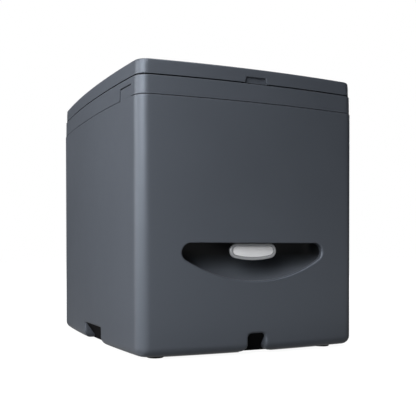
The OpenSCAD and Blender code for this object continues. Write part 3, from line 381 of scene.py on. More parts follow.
def stretched(tree, vector, scale, rotation=(0.0, 0.0, 0.0)):
    """The coordinates turned and scaled."""
    node = tree.nodes.new("ShaderNodeMapping")
    for label, value in (("Vector", vector), ("Rotation", rotation), ("Scale", scale)):
        feed(tree, node.inputs[label], value)
    return node.outputs["Vector"]


def ramp(tree, value, low, high, to_low=0.0, to_high=1.0):
    """Maps value from low..high to to_low..to_high, clamped."""
    node = tree.nodes.new("ShaderNodeMapRange")
    labels = ("Value", "From Min", "From Max", "To Min", "To Max")
    for label, given in zip(labels, (value, low, high, to_low, to_high)):
        feed(tree, node.inputs[label], given)
    return node.outputs["Result"]


def build_moulded_grain():
    """Fine spark-eroded grain of a moulding, and the slow unevenness of its gloss and colour."""
    tree, given, out = new_group(
        "Moulded grain", {"Grain Scale": 1400.0, "Gloss Spread": 0.06, "Tone Spread": 0.06},
        {"Height": "NodeSocketFloat", "Gloss": "NodeSocketFloat", "Tone": "NodeSocketFloat"})
    where = on_object(tree)
    tree.links.new(noise(tree, where, given.outputs["Grain Scale"], 2.0, 0.6), out.inputs["Height"])
    slow, mid = noise(tree, where, 9.0, 3.0, 0.55), noise(tree, where, 60.0)
    gloss = plus(tree, times(tree, slow, 0.7), times(tree, mid, 0.3))
    tree.links.new(times(tree, minus(tree, gloss, 0.5), given.outputs["Gloss Spread"]), out.inputs["Gloss"])
    tone = times(tree, minus(tree, slow, 0.5), given.outputs["Tone Spread"])
    tree.links.new(plus(tree, tone, 1.0), out.inputs["Tone"])
    return tree


def build_fine_scuffs():
    """Hairline scuffs from cleaning and handling: thin streaks in two directions, in patches."""
    tree, given, out = new_group("Fine scuffs", {"Amount": 0.5}, {"Mask": "NodeSocketFloat"})
    where = on_object(tree)
    streaks = []
    for turn, stretch in ((0.5, (900.0, 900.0, 25.0)), (-0.7, (40.0, 40.0, 1100.0))):
        drawn = stretched(tree, where, stretch, (turn, turn * 0.6, 0.0))
        streaks.append(ramp(tree, noise(tree, drawn, 1.0, 1.0), 0.70, 0.78))
    patches = ramp(tree, noise(tree, where, 14.0), 0.52, 0.7)
    mask = times(tree, times(tree, larger(tree, *streaks), patches), given.outputs["Amount"])
    tree.links.new(mask, out.inputs["Mask"])
    return tree


def build_brushing():
    """Fine parallel scratches along Y, or round it, of turned and brushed metal."""
    tree, given, out = new_group("Brushing", {"Scratch Scale": 2500.0},
                                 {"Height": "NodeSocketFloat", "Gloss": "NodeSocketFloat"})
    drawn = stretched(tree, on_object(tree), (0.02, 1.0, 1.0))
    scratch = noise(tree, drawn, given.outputs["Scratch Scale"])
    tree.links.new(scratch, out.inputs["Height"])
    tree.links.new(times(tree, minus(tree, scratch, 0.5), 0.25), out.inputs["Gloss"])
    return tree


MOULDED_GRAIN = build_moulded_grain()
FINE_SCUFFS = build_fine_scuffs()
BRUSHING = build_brushing()


def place_group(tree, group, **values):
    """A group node with its own values; a name's _ stands for a space."""
    node = tree.nodes.new("ShaderNodeGroup")
    node.node_tree = group
    for label, value in values.items():
        node.inputs[label.replace("_", " ")].default_value = value
    return node


def new_material(name, roughness, **sockets):
    """A material with a Principled shader, its constants set on the shader's own sockets."""
    material = bpy.data.materials.new(name)
    material.use_nodes = True
    tree = material.node_tree
    shader = tree.nodes["Principled BSDF"]
    shader.inputs["Roughness"].default_value = roughness
    for label, value in sockets.items():
        shader.inputs[label.replace("_", " ")].default_value = value
    return material, tree, shader


def mixed_color(tree, factor, low, high):
    """Colour between low and high by factor; low is a colour or a socket."""
    node = tree.nodes.new("ShaderNodeMix")
    node.data_type = "RGBA"
    feed(tree, node.inputs["A"], low if isinstance(low, bpy.types.NodeSocket) else (*low, 1))
    node.inputs["B"].default_value = (*high, 1)
    tree.links.new(factor, node.inputs["Factor"])
    return node.outputs["Result"]


def bump(tree, shader, height, distance):
    """Feeds the shader's Normal from a height in features of that depth, in metres."""
    node = tree.nodes.new("ShaderNodeBump")
    node.inputs["Distance"].default_value = distance
    node.inputs["Strength"].default_value = 1.0
    tree.links.new(height, node.inputs["Height"])
    tree.links.new(node.outputs["Normal"], shader.inputs["Normal"])


def moulded_plastic(name, color, roughness, grain=1400.0, depth=0.00002, scuffs=0.4, spread=0.1, **sockets):
    """Moulded plastic: fine grain, slow unevenness of gloss and colour, and hairline scuffs."""
    material, tree, shader = new_material(name, roughness, **sockets)
    moulded = place_group(tree, MOULDED_GRAIN, Grain_Scale=grain, Gloss_Spread=spread, Tone_Spread=0.12)
    marks = place_group(tree, FINE_SCUFFS, Amount=scuffs).outputs["Mask"]
    tone = ramp(tree, moulded.outputs["Tone"], 0.94, 1.06)
    plain = mixed_color(tree, tone, [c * 0.94 for c in color], [c * 1.06 for c in color])
    scuffed = mixed_color(tree, times(tree, marks, 0.35), plain, [min(1.0, c * 1.5 + 0.02) for c in color])
    tree.links.new(scuffed, shader.inputs["Base Color"])
    rough = plus(tree, moulded.outputs["Gloss"], roughness)
    tree.links.new(plus(tree, rough, times(tree, marks, 0.12), clamp=True), shader.inputs["Roughness"])
    bump(tree, shader, moulded.outputs["Height"], depth)
    return material


def paint_shade_upwards(material, low, high, share):
    """Paints shade into the base colour: darkens it evenly from the height low to that share of it at high,
    both in metres.
    """
    tree = material.node_tree
    base = tree.nodes["Principled BSDF"].inputs["Base Color"]
    apart = tree.nodes.new("ShaderNodeSeparateXYZ")
    tree.links.new(on_object(tree), apart.inputs[0])
    scale = vector_node(tree, "SCALE", base.links[0].from_socket)
    tree.links.new(ramp(tree, apart.outputs["Z"], low, high, 1.0, share), scale.inputs["Scale"])
    tree.links.new(scale.outputs["Vector"], base)


def brushed_metal(name, color, roughness, scale=2500.0, depth=0.000012, metallic=1.0):
    """Drawn or turned metal with fine scratches."""
    material, tree, shader = new_material(name, roughness, Metallic=metallic)
    drawn = place_group(tree, BRUSHING, Scratch_Scale=scale)
    shade = ramp(tree, drawn.outputs["Height"], 0.3, 0.7)
    tree.links.new(mixed_color(tree, shade, [c * 0.92 for c in color], [min(1, c * 1.05) for c in color]),
                   shader.inputs["Base Color"])
    tree.links.new(plus(tree, drawn.outputs["Gloss"], roughness, clamp=True), shader.inputs["Roughness"])
    bump(tree, shader, drawn.outputs["Height"], depth)
    return material


slate_shell = moulded_plastic("slate moulded plastic", (0.048, 0.054, 0.065), 0.42, Specular_IOR_Level=0.5,
                              Specular_Tint=(0.78, 0.87, 1.0, 1.0))
# near-black faces that are painted shade: the floor notches' sloping backs and the gap under the lid's rim
painted_shade_black = moulded_plastic("painted shade black", (0.0025, 0.0025, 0.003), 0.8, scuffs=0.1,
                                Specular_IOR_Level=0.05)
dark_pan = moulded_plastic("dark recess plastic", (0.045, 0.05, 0.058), 0.5)
# the recess plastic is darkened towards its top as painted shade inside the recess
scoop_plastic_painted_shade = moulded_plastic("recess plastic, painted shade at its top", (0.075, 0.084, 0.1), 0.6,
                                Specular_IOR_Level=0.25)
paint_shade_upwards(scoop_plastic_painted_shade, 0.121, 0.144, 0.07)
black_plastic = moulded_plastic("black plastic", (0.018, 0.018, 0.02), 0.45)
dark_bin = moulded_plastic("dark bin plastic", (0.035, 0.037, 0.04), 0.55, grain=900.0, depth=0.00004)
bearing_plastic = moulded_plastic("natural bearing plastic", (0.5, 0.49, 0.46), 0.35, scuffs=0.2)
handle_paint = moulded_plastic("silver handle paint", (0.3, 0.308, 0.322), 0.48, grain=2600.0,
                               depth=0.000008, scuffs=0.3, Metallic=0.2)
plate_satin = brushed_metal("bare satin plate", (0.76, 0.765, 0.775), 0.42, scale=3200.0, depth=0.000006,
                            metallic=0.1)
steel = brushed_metal("stainless steel", (0.6, 0.6, 0.6), 0.3)
soft_rubber = moulded_plastic("black rubber", (0.012, 0.012, 0.013), 0.75, grain=700.0, depth=0.00005,
                              scuffs=0.7)
white_bowl = moulded_plastic("white glazed plastic", (0.8, 0.8, 0.78), 0.14, grain=500.0, depth=0.000004,
                             scuffs=0.1, spread=0.05)
milky_bottle = moulded_plastic("milky bottle plastic", (0.72, 0.73, 0.7), 0.32, grain=300.0, depth=0.00003,
                               scuffs=0.3, Subsurface_Weight=0.35, Subsurface_Scale=0.004)


def carbon_foam():
    """Open-cell carbon foam: dark cells with lighter webs."""
    material, tree, shader = new_material("carbon foam", 0.9)
    cells = tree.nodes.new("ShaderNodeTexVoronoi")
    cells.inputs["Scale"].default_value = 450.0
    tree.links.new(on_object(tree), cells.inputs["Vector"])
    webs = cells.outputs["Distance"]
    tree.links.new(mixed_color(tree, webs, (0.004, 0.004, 0.004), (0.03, 0.03, 0.032)),
                   shader.inputs["Base Color"])
    bump(tree, shader, webs, 0.0006)
    return material


foam = carbon_foam()

# ---------- Base shell ----------


class Bow:
    """A bowed outline in X and Z: a straight top, round ends of radius r at half width a, a large arc below.

    The arc is tangent to both ends and dips to the height low.
    """

    def __init__(self, a, top, low, r):
        self.cx, self.cz, self.top, self.low, self.r = a - r, top - r, top, low, r
        self.arc = (self.cx**2 + (self.cz - low) ** 2 - r**2) / (2 * (self.cz - low - r))
        self.turn = math.atan2(self.cz - low - self.arc, self.cx)

    def points(self, bottom, right, top, g):
        """x and z of the edge moved out by g: the large arc, an end, the straight top and the other end.

        bottom runs from -1 to 1, right from 0 to 1 up the right end, as mirrored on the left,
        and top from 1 to -1.
        """
        half_turn = math.pi / 2 + self.turn
        low = np.stack([(self.arc + g) * np.sin(bottom * half_turn),
                        self.low + self.arc - (self.arc + g) * np.cos(bottom * half_turn)], -1)
        angle = self.turn + (math.pi / 2 - self.turn) * right
        up = np.stack([self.cx + (self.r + g) * np.cos(angle), self.cz + (self.r + g) * np.sin(angle)], -1)
        over = np.stack([top * self.cx, np.full(len(top), self.top + g)], -1)
        return np.concatenate([low, up, over, (up * [-1, 1])[::-1]])


SMILE = Bow(SMILE_A, SMILE_TOP, SMILE_LOW, SMILE_R)
KNOB = Bow(KNOB_W / 2, SMILE_TOP - KNOB_GAP, SMILE_TOP - KNOB_GAP - KNOB_H, KNOB_END_R)


def front_wall_y(x, z, inset):
    """y of the bowed, drafted front wall moved in by inset."""
    moved = draft_in(z) + inset
    rf, b = FRONT_ARC - moved, BODY_D / 2 - moved
    return BODY_Y + rf - b - np.sqrt(rf**2 - x**2)


def on_front(flat, inset=0.0, deeper=0.0):
    """Points at x and z on the front wall moved in by inset, and then straight back by deeper."""
    return np.column_stack([flat[:, 0], front_wall_y(flat[:, 0], flat[:, 1], inset) + deeper, flat[:, 1]])


def notch_half(z, width, top_r, g):
    """Half width of a floor notch at height z: flared at the floor, rounded at the top, grown by g."""
    a, f, t, h = width / 2 + g, NOTCH_FLARE - g, top_r + g, NOTCH_H + g
    if z < SHELL_Z + f:
        return a + f - math.sqrt(max(0.0, f * f - (SHELL_Z + f - z) ** 2))
    if z > h - t:
        return a - t + math.sqrt(max(0.0, t * t - min(z - (h - t), t) ** 2))
    return a


def notch_depth(z, g):
    """Depth of a notch behind the wall's face at height z: its ceiling falls inwards."""
    slope = (NOTCH_D + g - NOTCH_CEILING_D) / (NOTCH_H - NOTCH_BACK_Z)
    return min(NOTCH_D + g, NOTCH_CEILING_D + max(0.0, NOTCH_H + g - z) * slope)


def rounded_edge(distance, r):
    """How far an edge of radius r has turned in at that distance before the edge."""
    d = np.clip(distance, 0, r)
    return r - np.sqrt(r * r - (r - d) ** 2)


EDGE_SHARES = np.array([0.0, 0.06, 0.25, 0.56, 1.0])
NOTCH_ROUND, GRIP_ROUND = 3.0, 0.8      # rounds of the floor notches' and the finger notch's edges
STEPS, GRIP_STEPS = EDGE_SHARES * NOTCH_ROUND, EDGE_SHARES * GRIP_ROUND
IN_SHARES = np.array([0.0, 0.35, 0.7, 1.0])
OUT_SHARES = np.array([0.08, 0.25, 0.5, 0.75, 1.0])
NOTCH_REACH_X, NOTCH_REACH_Y = 46.0, 64.0
PATCH_X, PATCH_Z = 128.0, np.linspace(92, 178, 23)      # the part of the front wall round the opening
LOW_Z, HIGH_Z = (42, 54, 67, 80), (190, 212, 240, 270, 300, 330)    # the wall's rows below and above it
# kinds of column: in a notch, on its rounded edge, or between it and the plain wall
IN_FRONT, FRONT_EDGE, PAST_FRONT, BEFORE_SIDE, SIDE_EDGE_1, IN_SIDE, SIDE_EDGE_2, PAST_SIDE = range(1, 9)


def base_columns():
    """Columns of the base, crowded at the notches' edges, with their kinds."""
    front = np.concatenate([IN_SHARES, STEPS, OUT_SHARES, np.linspace(54, PATCH_X, 13), [136, 146, 156, 165]])
    side = np.concatenate([[-186, -172, -150, -125, -100, -84], -OUT_SHARES[::-1], -STEPS[::-1],
                           np.linspace(-1, 1, 9), STEPS, OUT_SHARES, [72, 90, 115, 140, 165, 184]])
    cols = Columns(front, side)
    kind = np.zeros(cols.half, int)
    kind[:14] = np.repeat((IN_FRONT, FRONT_EDGE, PAST_FRONT), (4, 5, 5))
    first = int(np.argmax(cols.part[:cols.half] == 2)) + 6
    kind[first:first + 29] = np.repeat((BEFORE_SIDE, SIDE_EDGE_1, IN_SIDE, SIDE_EDGE_2, PAST_SIDE),
                                       (5, 5, 9, 5, 5))
    cols.kind = np.concatenate([kind, kind[cols.half - 2:0:-1]])
    return cols


def turned_in(z, across, half, width, top_r):
    """How far the wall has turned in at a floor notch's rounded edge, across from the notch's middle."""
    if z > NOTCH_H - top_r:
        away = np.hypot(np.maximum(across - (width / 2 - top_r), 0), z - (NOTCH_H - top_r)) - top_r
    else:
        away = across - half
    return rounded_edge(away, NOTCH_ROUND)


def base_row(cols, z, inset, inside, g):
    """One row of the base's skin at height z; inside says that it runs through the notches, grown by g."""
    kind, raw = cols.kind, cols.value
    wf = notch_half(z, FRONT_NOTCH_W, FRONT_NOTCH_R, g)
    ws = notch_half(z, SIDE_NOTCH_W, SIDE_NOTCH_R, g)
    value = np.select(
        [kind == k for k in range(IN_FRONT, PAST_SIDE + 1)],
        [raw * wf, wf + raw, wf + NOTCH_ROUND + raw * (NOTCH_REACH_X - wf),
         SIDE_NOTCH_Y - ws - NOTCH_ROUND + raw * (NOTCH_REACH_Y - ws), SIDE_NOTCH_Y - ws + raw,
         SIDE_NOTCH_Y + raw * ws, SIDE_NOTCH_Y + ws + raw,
         SIDE_NOTCH_Y + ws + NOTCH_ROUND + raw * (NOTCH_REACH_Y - ws)], raw)
    xy = cols.ring(inset + float(draft_in(z)), CORNER_R - inset, value)
    if g == 0 and z < NOTCH_H + NOTCH_ROUND + 0.1:
        at_front = turned_in(z, np.abs(xy[:, 0]), wf, FRONT_NOTCH_W, FRONT_NOTCH_R)
        at_side = turned_in(z, np.abs(xy[:, 1] - BODY_Y - SIDE_NOTCH_Y), ws, SIDE_NOTCH_W, SIDE_NOTCH_R)
        xy[:, 1] += np.where(np.isin(kind, (IN_FRONT, FRONT_EDGE)), at_front, 0)
        xy[:, 0] -= cols.hand * np.where(np.isin(kind, (SIDE_EDGE_1, IN_SIDE, SIDE_EDGE_2)), at_side, 0)
    if inside:
        depth = float(draft_in(NOTCH_H)) + notch_depth(z, g)
        xy[:, 1] = np.where(kind == IN_FRONT, np.maximum(xy[:, 1], FRONT_Y + depth), xy[:, 1])
        wall_x = cols.hand * np.minimum(np.abs(xy[:, 0]), BODY_W / 2 - depth)
        xy[:, 0] = np.where(kind == IN_SIDE, wall_x, xy[:, 0])
    return level(xy, z)


def build_base_shell():
    """The tub: floor, bowed walls with floor notches, rim and ledge, and the opening with its turned-in lip.

    One closed surface. Rows run up the outside, over the rim and down the inside; the opening is a
    stack of rings from the wall's outside, round the lip, to the wall's inside.
    """
    cols = base_columns()
    rows = [(SHELL_Z + up, aside, True, 0) for aside, up in round_over(BOTTOM_R, 9)]
    rows += [(z, 0, True, 0) for z in (18.5, 21, 24, 25.5, 27, 28.5, 29.5, 30.3, 30.8, NOTCH_H)]
    notch_rows = len(rows)
    rows += [(z, 0, False, 0) for z in (*(NOTCH_H + STEPS), 35, *LOW_Z, *PATCH_Z)]
    outer_patch = len(rows) - len(PATCH_Z)
    rows += [(z, 0, False, 0) for z in (*HIGH_Z, 350, 360)]
    rows += [(BASE_TOP - down, aside, False, 0) for down, aside in round_over(RIM_R, 6)]
    # the rim's inner edge and the gasket's ledge
    ledge = ((BASE_TOP, WALL - RIM_R), (BASE_TOP - RIM_R, WALL), (356, WALL), (LEDGE_TOP, WALL),
             (LEDGE_TOP, LEDGE_IN - 0.4), (LEDGE_TOP - 0.4, LEDGE_IN), (LEDGE_LOW, LEDGE_IN),
             (LEDGE_LOW - 1, WALL))
    rows += [(z, inset, False, WALL) for z, inset in ledge]
    rows += [(z, WALL, False, WALL) for z in (*HIGH_Z[::-1], *PATCH_Z[::-1])]
    inner_patch = len(rows) - 1
    rows += [(z, WALL, False, WALL) for z in LOW_Z[::-1]]
    rows += [(z, WALL, True, WALL) for z in (35, 34, 33, 31, 27, 22, 17)]
    rows += [(FLOOR_TOP + up, WALL + aside, True, WALL) for aside, up in round_over(BOTTOM_R - WALL, 7)[::-1]]
    skin = [base_row(cols, *row) for row in rows]
    under = drawn_in(skin[0], (0.0, 0.3, 0.6, 0.9))
    grid = np.stack(under + skin + drawn_in(skin[-1], (0.9, 0.6, 0.3, 0.0)))
    outer_patch += len(under)
    inner_patch += len(under)
    ids = numbers(grid)
    faces = grid_faces(ids)
    count = len(PATCH_Z)
    reach = int(np.flatnonzero(np.isclose(cols.value, PATCH_X) & (cols.part == 0))[0])
    keep = np.ones(faces.shape[:2], bool)
    for first in (outer_patch, inner_patch - count + 1):
        keep[first:first + count - 1, :reach] = False
        keep[first:first + count - 1, -reach:] = False
    across = np.concatenate([np.arange(ids.shape[1] - reach, ids.shape[1]), np.arange(reach + 1)])

    def loop(first, step):
        """Numbers of the points round the patch, whose rows start at first."""
        lines = ids[first + step * np.arange(count)]
        return np.concatenate([lines[0, across], lines[1:-1, across[-1]], lines[-1, across[::-1]],
                               lines[-2:0:-1, across[0]]])

    outer, inner = loop(outer_patch, 1), loop(inner_patch, -1)
    points = grid.reshape(-1, 3)
    bottom = points[outer[:len(across)], 0] / PATCH_X
    up = np.arange(1, count - 1) / (count - 1)
    edge = lambda g: SMILE.points(np.clip(bottom, -1, 1), up, bottom[::-1], g)
    between = lambda loop_ids, flat, share: points[loop_ids][:, [0, 2]] * (1 - share) + flat * share
    # the lip's round is LIP_R where it faces up or sideways, and smaller under the straight top
    facing = edge(1.0) - edge(0.0)
    lip_r = LIP_R * (1 - 0.6 * np.clip(facing[:, 1], 0, 1))

    def lip(past, deeper):
        """A ring of the lip, that far past the opening's edge and behind the wall's face."""
        return on_front(edge(0.0) + facing * np.reshape(past, (-1, 1)), 0, deeper)

    lip_start = edge(0.0) + facing * lip_r[:, None]
    rings = [on_front(between(outer, lip_start, share)) for share in (0.25, 0.5, 0.7, 0.85, 0.95, 1.0)]
    rings += [lip(lip_r * (1 - math.sin(t)), lip_r * (1 - math.cos(t)))
              for t in np.radians(np.linspace(10, 90, 9))]
    rings += [lip(*p) for p in ((0, 4), (0, 5.7), (0, 7.4), (0.18, 7.82), (0.6, 8), (2.1, 8), (2.5, 7.6))]
    rings += [on_front(between(inner, edge(PAN_T), share), WALL) for share in (1.0, 0.8, 0.5, 0.2)]
    ring_points = np.concatenate(rings)
    ring_ids = len(points) + np.arange(len(ring_points)).reshape(len(rings), -1)
    tube = grid_faces(np.vstack([outer, ring_ids, inner])).reshape(-1, 4)
    # the notches' sloping backs, outside, painted near-black as shade
    notch = np.isin(cols.kind, (IN_FRONT, IN_SIDE))
    dark = np.zeros(faces.shape[:2], bool)
    dark[len(under):len(under) + notch_rows] = notch & np.roll(notch, -1)
    return add_piece("tub_shell", np.concatenate([points, ring_points]), np.concatenate([faces[keep], tube]),
                     slate_shell, "base", ["base_floor", "base_front", "base_sides", "base_rear"],
                     painted_shade_faces=(painted_shade_black, np.append(dark[keep], np.zeros(len(tube), bool))))


def build_feet():
    """Four round rubber feet under the tub."""
    top = SHELL_Z + 0.2
    profile = [(0, 0), (0, FOOT_R - 0.8), (0.23, FOOT_R - 0.23), (0.8, FOOT_R), (top, FOOT_R), (top, 0)]
    feet = [turned(profile, 2, (x, BODY_Y + y, 0)) for x in (-FOOT_X, FOOT_X) for y in (-FOOT_Y, FOOT_Y)]
    faces = [grid_faces(numbers(foot) + k * foot[..., 0].size) for k, foot in enumerate(feet)]
    add_piece("floor_feet", np.stack(feet), np.stack(faces), soft_rubber, "base", ["rubber_feet"])


def knuckles(prefix, x, z, spans, body):
    """Hinge knuckles at x and at -x: short tubes along X with rounded ends."""
    r, bore, edge = HINGE_R, PIN_R + PIN_GAP, KNUCKLE_EDGE
    for hand, side in ((-1, "left"), (1, "right")):
        for k, (a, b) in enumerate(spans):
            x0, x1 = hand * x + a, hand * x + b
            profile = [(x0, bore), (x0, r - edge), (x0 + edge * 0.3, r - edge * 0.3), (x0 + edge, r),
                       (x1 - edge, r), (x1 - edge * 0.3, r - edge * 0.3), (x1, r - edge), (x1, bore)]
            add_skin(f"{prefix}_{side}_{k + 1}", turned(profile, 0, (0, REAR_Y, z)), slate_shell, body, (),
                     flip=True, close_rows=True)


HALF_MID = KNUCKLE_MID / 2
NEAR_END, FAR_END = HALF_MID + KNUCKLE_GAP, HALF_MID + KNUCKLE_GAP + KNUCKLE_W
OUTER_SPANS, MID_SPAN = [(-FAR_END, -NEAR_END), (NEAR_END, FAR_END)], [(-HALF_MID, HALF_MID)]


def combine(piece, tool, operation):
    """Unites the piece with the tool, or cuts the tool from it, and removes the tool."""
    both = piece.modifiers.new(operation.lower(), "BOOLEAN")
    both.operation, both.solver, both.object = operation, "EXACT", tool
    with bpy.context.temp_override(object=piece, active_object=piece, selected_objects=[piece]):
        bpy.ops.object.modifier_apply(modifier=both.name)
    bpy.data.objects.remove(tool)


def hinge_cut(piece, spots):
    """Cuts room for the other leaf's knuckles out of a shell: short cylinders along X at (x0, x1, z)."""
    r, count = HINGE_R + HINGE_ROOM, 32
    points, faces = [], []
    for x0, x1, z in spots:
        ids = len(points) * 2 * count + np.arange(2 * count).reshape(2, count)
        points.append(turned([(x0, r), (x1, r)], 0, (0, REAR_Y, z), count))
        faces += grid_faces(ids)[..., ::-1].reshape(-1, 4).tolist() + [ids[0].tolist(), ids[1, ::-1].tolist()]
    mesh = bpy.data.meshes.new(piece.name + "_cut")
    mesh.from_pydata((np.reshape(points, (-1, 3)) * 0.001).tolist(), [], faces)
    rework(mesh, outward=True)
    combine(piece, add_object(mesh.name, mesh), "DIFFERENCE")


def spans_at(x, spans, z):
    """Cuts for knuckles at x and -x."""
    return [(hand * x + a - KNUCKLE_GAP, hand * x + b + KNUCKLE_GAP, z) for hand in (-1, 1) for a, b in spans]


tub = build_base_shell()
hinge_cut(tub, spans_at(HINGE_X, MID_SPAN, BASE_H))
knuckles("tub_knuckle", HINGE_X, BASE_H, OUTER_SPANS, "base")
build_feet()

# ---------- Seat frame ----------


def build_seat_frame():
    """The band and deck between base and lid, with its locating lip, hanging rim and latch windows.

    A section carried round the body: from the deck's opening out to the band, down its outside, round the
    lip, up the inside and back under the deck. The windows are left out and closed with flat caps.
    """
    y0, y1 = LATCH_Y - LATCH_W / 2 - 0.4, LATCH_Y + LATCH_W / 2 + 1.8
    side = np.concatenate([[-187, -182], np.linspace(y0, y1, 8), np.linspace(-125, 184, 26)])
    cols = Columns(np.append(0, np.linspace(8, 165, 22)), side)
    window_z, under = BASE_H + LATCH_H, DECK_Z - DECK_T
    around = cols.ring(20, CORNER_R)
    direction = np.arctan2(around[:, 1] - BOWL_Y, around[:, 0])
    oval = lambda grow, z: level(oval_at(direction, BOWL_A + grow, BOWL_B + grow, BOWL_N), z)
    line = lambda inset, z, r=None: level(cols.ring(inset, CORNER_R - inset if r is None else r), z)
    between = lambda start, end, shares: [start * (1 - s) + end * s for s in shares]
    rows = [oval(12.5, DECK_Z)] + between(oval(14, DECK_Z), line(12, DECK_Z, 16), (0, 0.25, 0.5, 0.75, 1))
    rows += [line(4, DECK_Z, 18)]
    rows += [line(BAND_IN + aside, DECK_Z - down) for aside, down in round_over(BAND_TOP_R, 7)]
    rows += [line(BAND_IN, z) for z in (388, 385)]
    first = len(rows)
    rows += [line(BAND_IN, z) for z in (window_z, 377, 371, 368.5, 366.5)]
    rows += [line(BAND_IN + aside, BAND_Z + up) for up, aside in round_over(BAND_LOW_R, 6)]
    # the locating lip, and the band's inside up to the window's top, as (inset, height)
    rows += [line(*p) for p in (
        (3.4, BAND_Z), (4.4, BAND_Z - 0.2), (4.6, 363.5), (4.6, 356.3), (5.2, 355.5), (6.6, 355.5), (7, 356),
        (7, 360), (7, 364), (7, 367.7), (6.2, 368.5), (4, 369), (4, 372), (4, 377), (4, window_z))]
    last = len(rows) - 1
    rows += [line(4, under - 0.5), line(4.5, under)]
    rows += between(line(12, under, 16), oval(11, under), (0, 0.5, 1))
    # the hanging rim round the bowl, as (growth, height)
    rows += [oval(*p) for p in ((9, under - 0.6), (9, 377.5), (8.5, 377), (6.5, 377), (6, 377.5), (6, under),
                                (3, under), (3, 388.3), (12.5, 388.3))]
    grid = np.stack(rows)
    ids = numbers(grid)
    faces = grid_faces(ids, close_rows=True)
    keep = np.ones(faces.shape[:2], bool)
    hits = np.flatnonzero((cols.part == 2) & (cols.value >= y0 - 1e-6) & (cols.value <= y1 + 1e-6))
    caps, ceilings = [], []
    for hand in (1, -1):
        these = hits[cols.hand[hits] == hand]
        a, b = these.min(), these.max()
        keep[first:last, a:b] = False
        ceilings.append(np.stack([ids[first, a:b], ids[first, a + 1:b + 1],
                                  ids[last, a + 1:b + 1], ids[last, a:b]], -1))
        caps += [ids[first:last + 1, a][::-1], ids[first:last + 1, b]]
    return add_piece("seat_frame_shell", grid, np.concatenate([faces[keep]] + ceilings)[:, ::-1], slate_shell,
                     "frame", ["seat_frame"], caps=caps)


band = build_seat_frame()
hinge_cut(band, spans_at(HINGE_X, OUTER_SPANS, BASE_H) + spans_at(LID_HINGE_X, MID_SPAN, LID_AXIS_Z))
knuckles("frame_knuckle", HINGE_X, BASE_H, MID_SPAN, "frame")
knuckles("frame_lid_knuckle", LID_HINGE_X, LID_AXIS_Z, OUTER_SPANS, "frame")

# ---------- Lid ----------


def build_lid():
    """The lid: a crowned top with a round edge, thin walls and a finger notch in its front edge.

    Rows run from the middle of the top out, down the side, round the lower edge and back in to the middle.
    """
    front = np.concatenate([np.linspace(0, 1, 5), GRIP_STEPS, OUT_SHARES, np.linspace(44, 165, 18)])
    cols = Columns(front, np.linspace(-184, 184, 36), corner=14, front_fixed=GRIP_REACH,
                   side_fixed=(0.0, 0.0))
    kind = np.zeros(cols.half, int)
    kind[:15] = np.repeat((IN_FRONT, FRONT_EDGE, PAST_FRONT), 5)
    kind = np.concatenate([kind, kind[cols.half - 2:0:-1]])
    grip_top, back_y = LID_Z + GRIP_H, FRONT_Y + LID_INSET + GRIP_D

    def row(z, inset, r, inside=False, g=0.0):
        """A row at height z; inside says that it runs through the finger notch, grown by g."""
        raw = cols.value
        half = GRIP_W / 2 + 0.5 - GRIP_TAPER * (min(z, grip_top) - LID_Z + 1) / (GRIP_H + 1) + g
        xy = cols.ring(inset, r, np.select(
            [kind == IN_FRONT, kind == FRONT_EDGE, kind == PAST_FRONT],
            [raw * half, half + raw, half + GRIP_ROUND + raw * (GRIP_REACH - half)], raw))
        if g == 0 and z < grip_top + GRIP_ROUND + 0.05:
            away = np.hypot(np.maximum(np.abs(xy[:, 0]) - half, 0), max(z - grip_top, 0))
            xy[:, 1] += np.where(np.isin(kind, (IN_FRONT, FRONT_EDGE)), rounded_edge(away, GRIP_ROUND), 0)
        if inside:
            back = (kind == IN_FRONT) | ((kind == FRONT_EDGE) & (g > 0))
            xy[:, 1] = np.where(back, np.maximum(xy[:, 1], back_y + g), xy[:, 1])
        return level(xy, z)

    def crown(s, g):
        """Height, inset and corner radius on the crowned top, from its edge at s 0, g below its outside."""
        return CROWN_EDGE_Z - g + CROWN_H * (1 - (1 - s) ** 2), CROWN_IN + g + CROWN_W * s, CORNER_R

    def edge(t, g):
        """The same on the top's round edge, from the side at t 0."""
        r, a = LID_EDGE_R - g, t * (math.pi / 2 - CROWN_SLOPE)
        d = r * (1 - math.cos(a))
        return LID_ARC_Z + r * math.sin(a), LID_INSET + g + d, CORNER_R - g - d

    rows = [row(*crown(s, 0)) for s in np.linspace(1, 0, 11)]
    rows += [row(*edge(t, 0)) for t in np.linspace(1, 0, 9)[1:]]
    r = CORNER_R - LID_INSET
    rows += [row(z, LID_INSET, r) for z in (406, 403.4, *(grip_top + GRIP_STEPS[::-1]))]
    rows += [row(z, LID_INSET, r, True) for z in (grip_top, 399.5, 397, 395.2)]
    rows += [row(LID_Z + up, LID_INSET + aside, r, True) for up, aside in round_over(LID_LOW_R, 6)]
    rim = len(rows)
    inset, r = LID_INSET + LID_T, CORNER_R - LID_T
    rows += [row(LID_Z, inset - 0.5, r, True, GRIP_WALL)]
    rows += [row(z, inset, r, True, GRIP_WALL) for z in (LID_Z + 0.5, 397, 401.5, 404.5)]
    rows += [row(406.5, inset, r, False, GRIP_WALL)]
    rows += [row(*edge(t, LID_T), False, GRIP_WALL) for t in np.linspace(0, 1, 5)]
    rows += [row(*crown(s, LID_T), False, GRIP_WALL) for s in np.linspace(0, 1, 6)[1:]]
    top = drawn_in(rows[0], (0.0, 0.3, 0.6, 0.85))
    grid = np.stack(top + rows + drawn_in(rows[-1], (0.85, 0.6, 0.3, 0.0)))
    faces = grid_faces(numbers(grid))[..., ::-1]
    # the faces of the lid's lower rim are painted near-black as shade, so the gap under the lid looks black
    dark = np.zeros(faces.shape[:2], bool)
    dark[len(top) + rim - 1:len(top) + rim + 1] = True
    return add_piece("lid_cover", grid, faces, slate_shell, "lid", ["lid_shell"],
                     painted_shade_faces=(painted_shade_black, dark.ravel()))


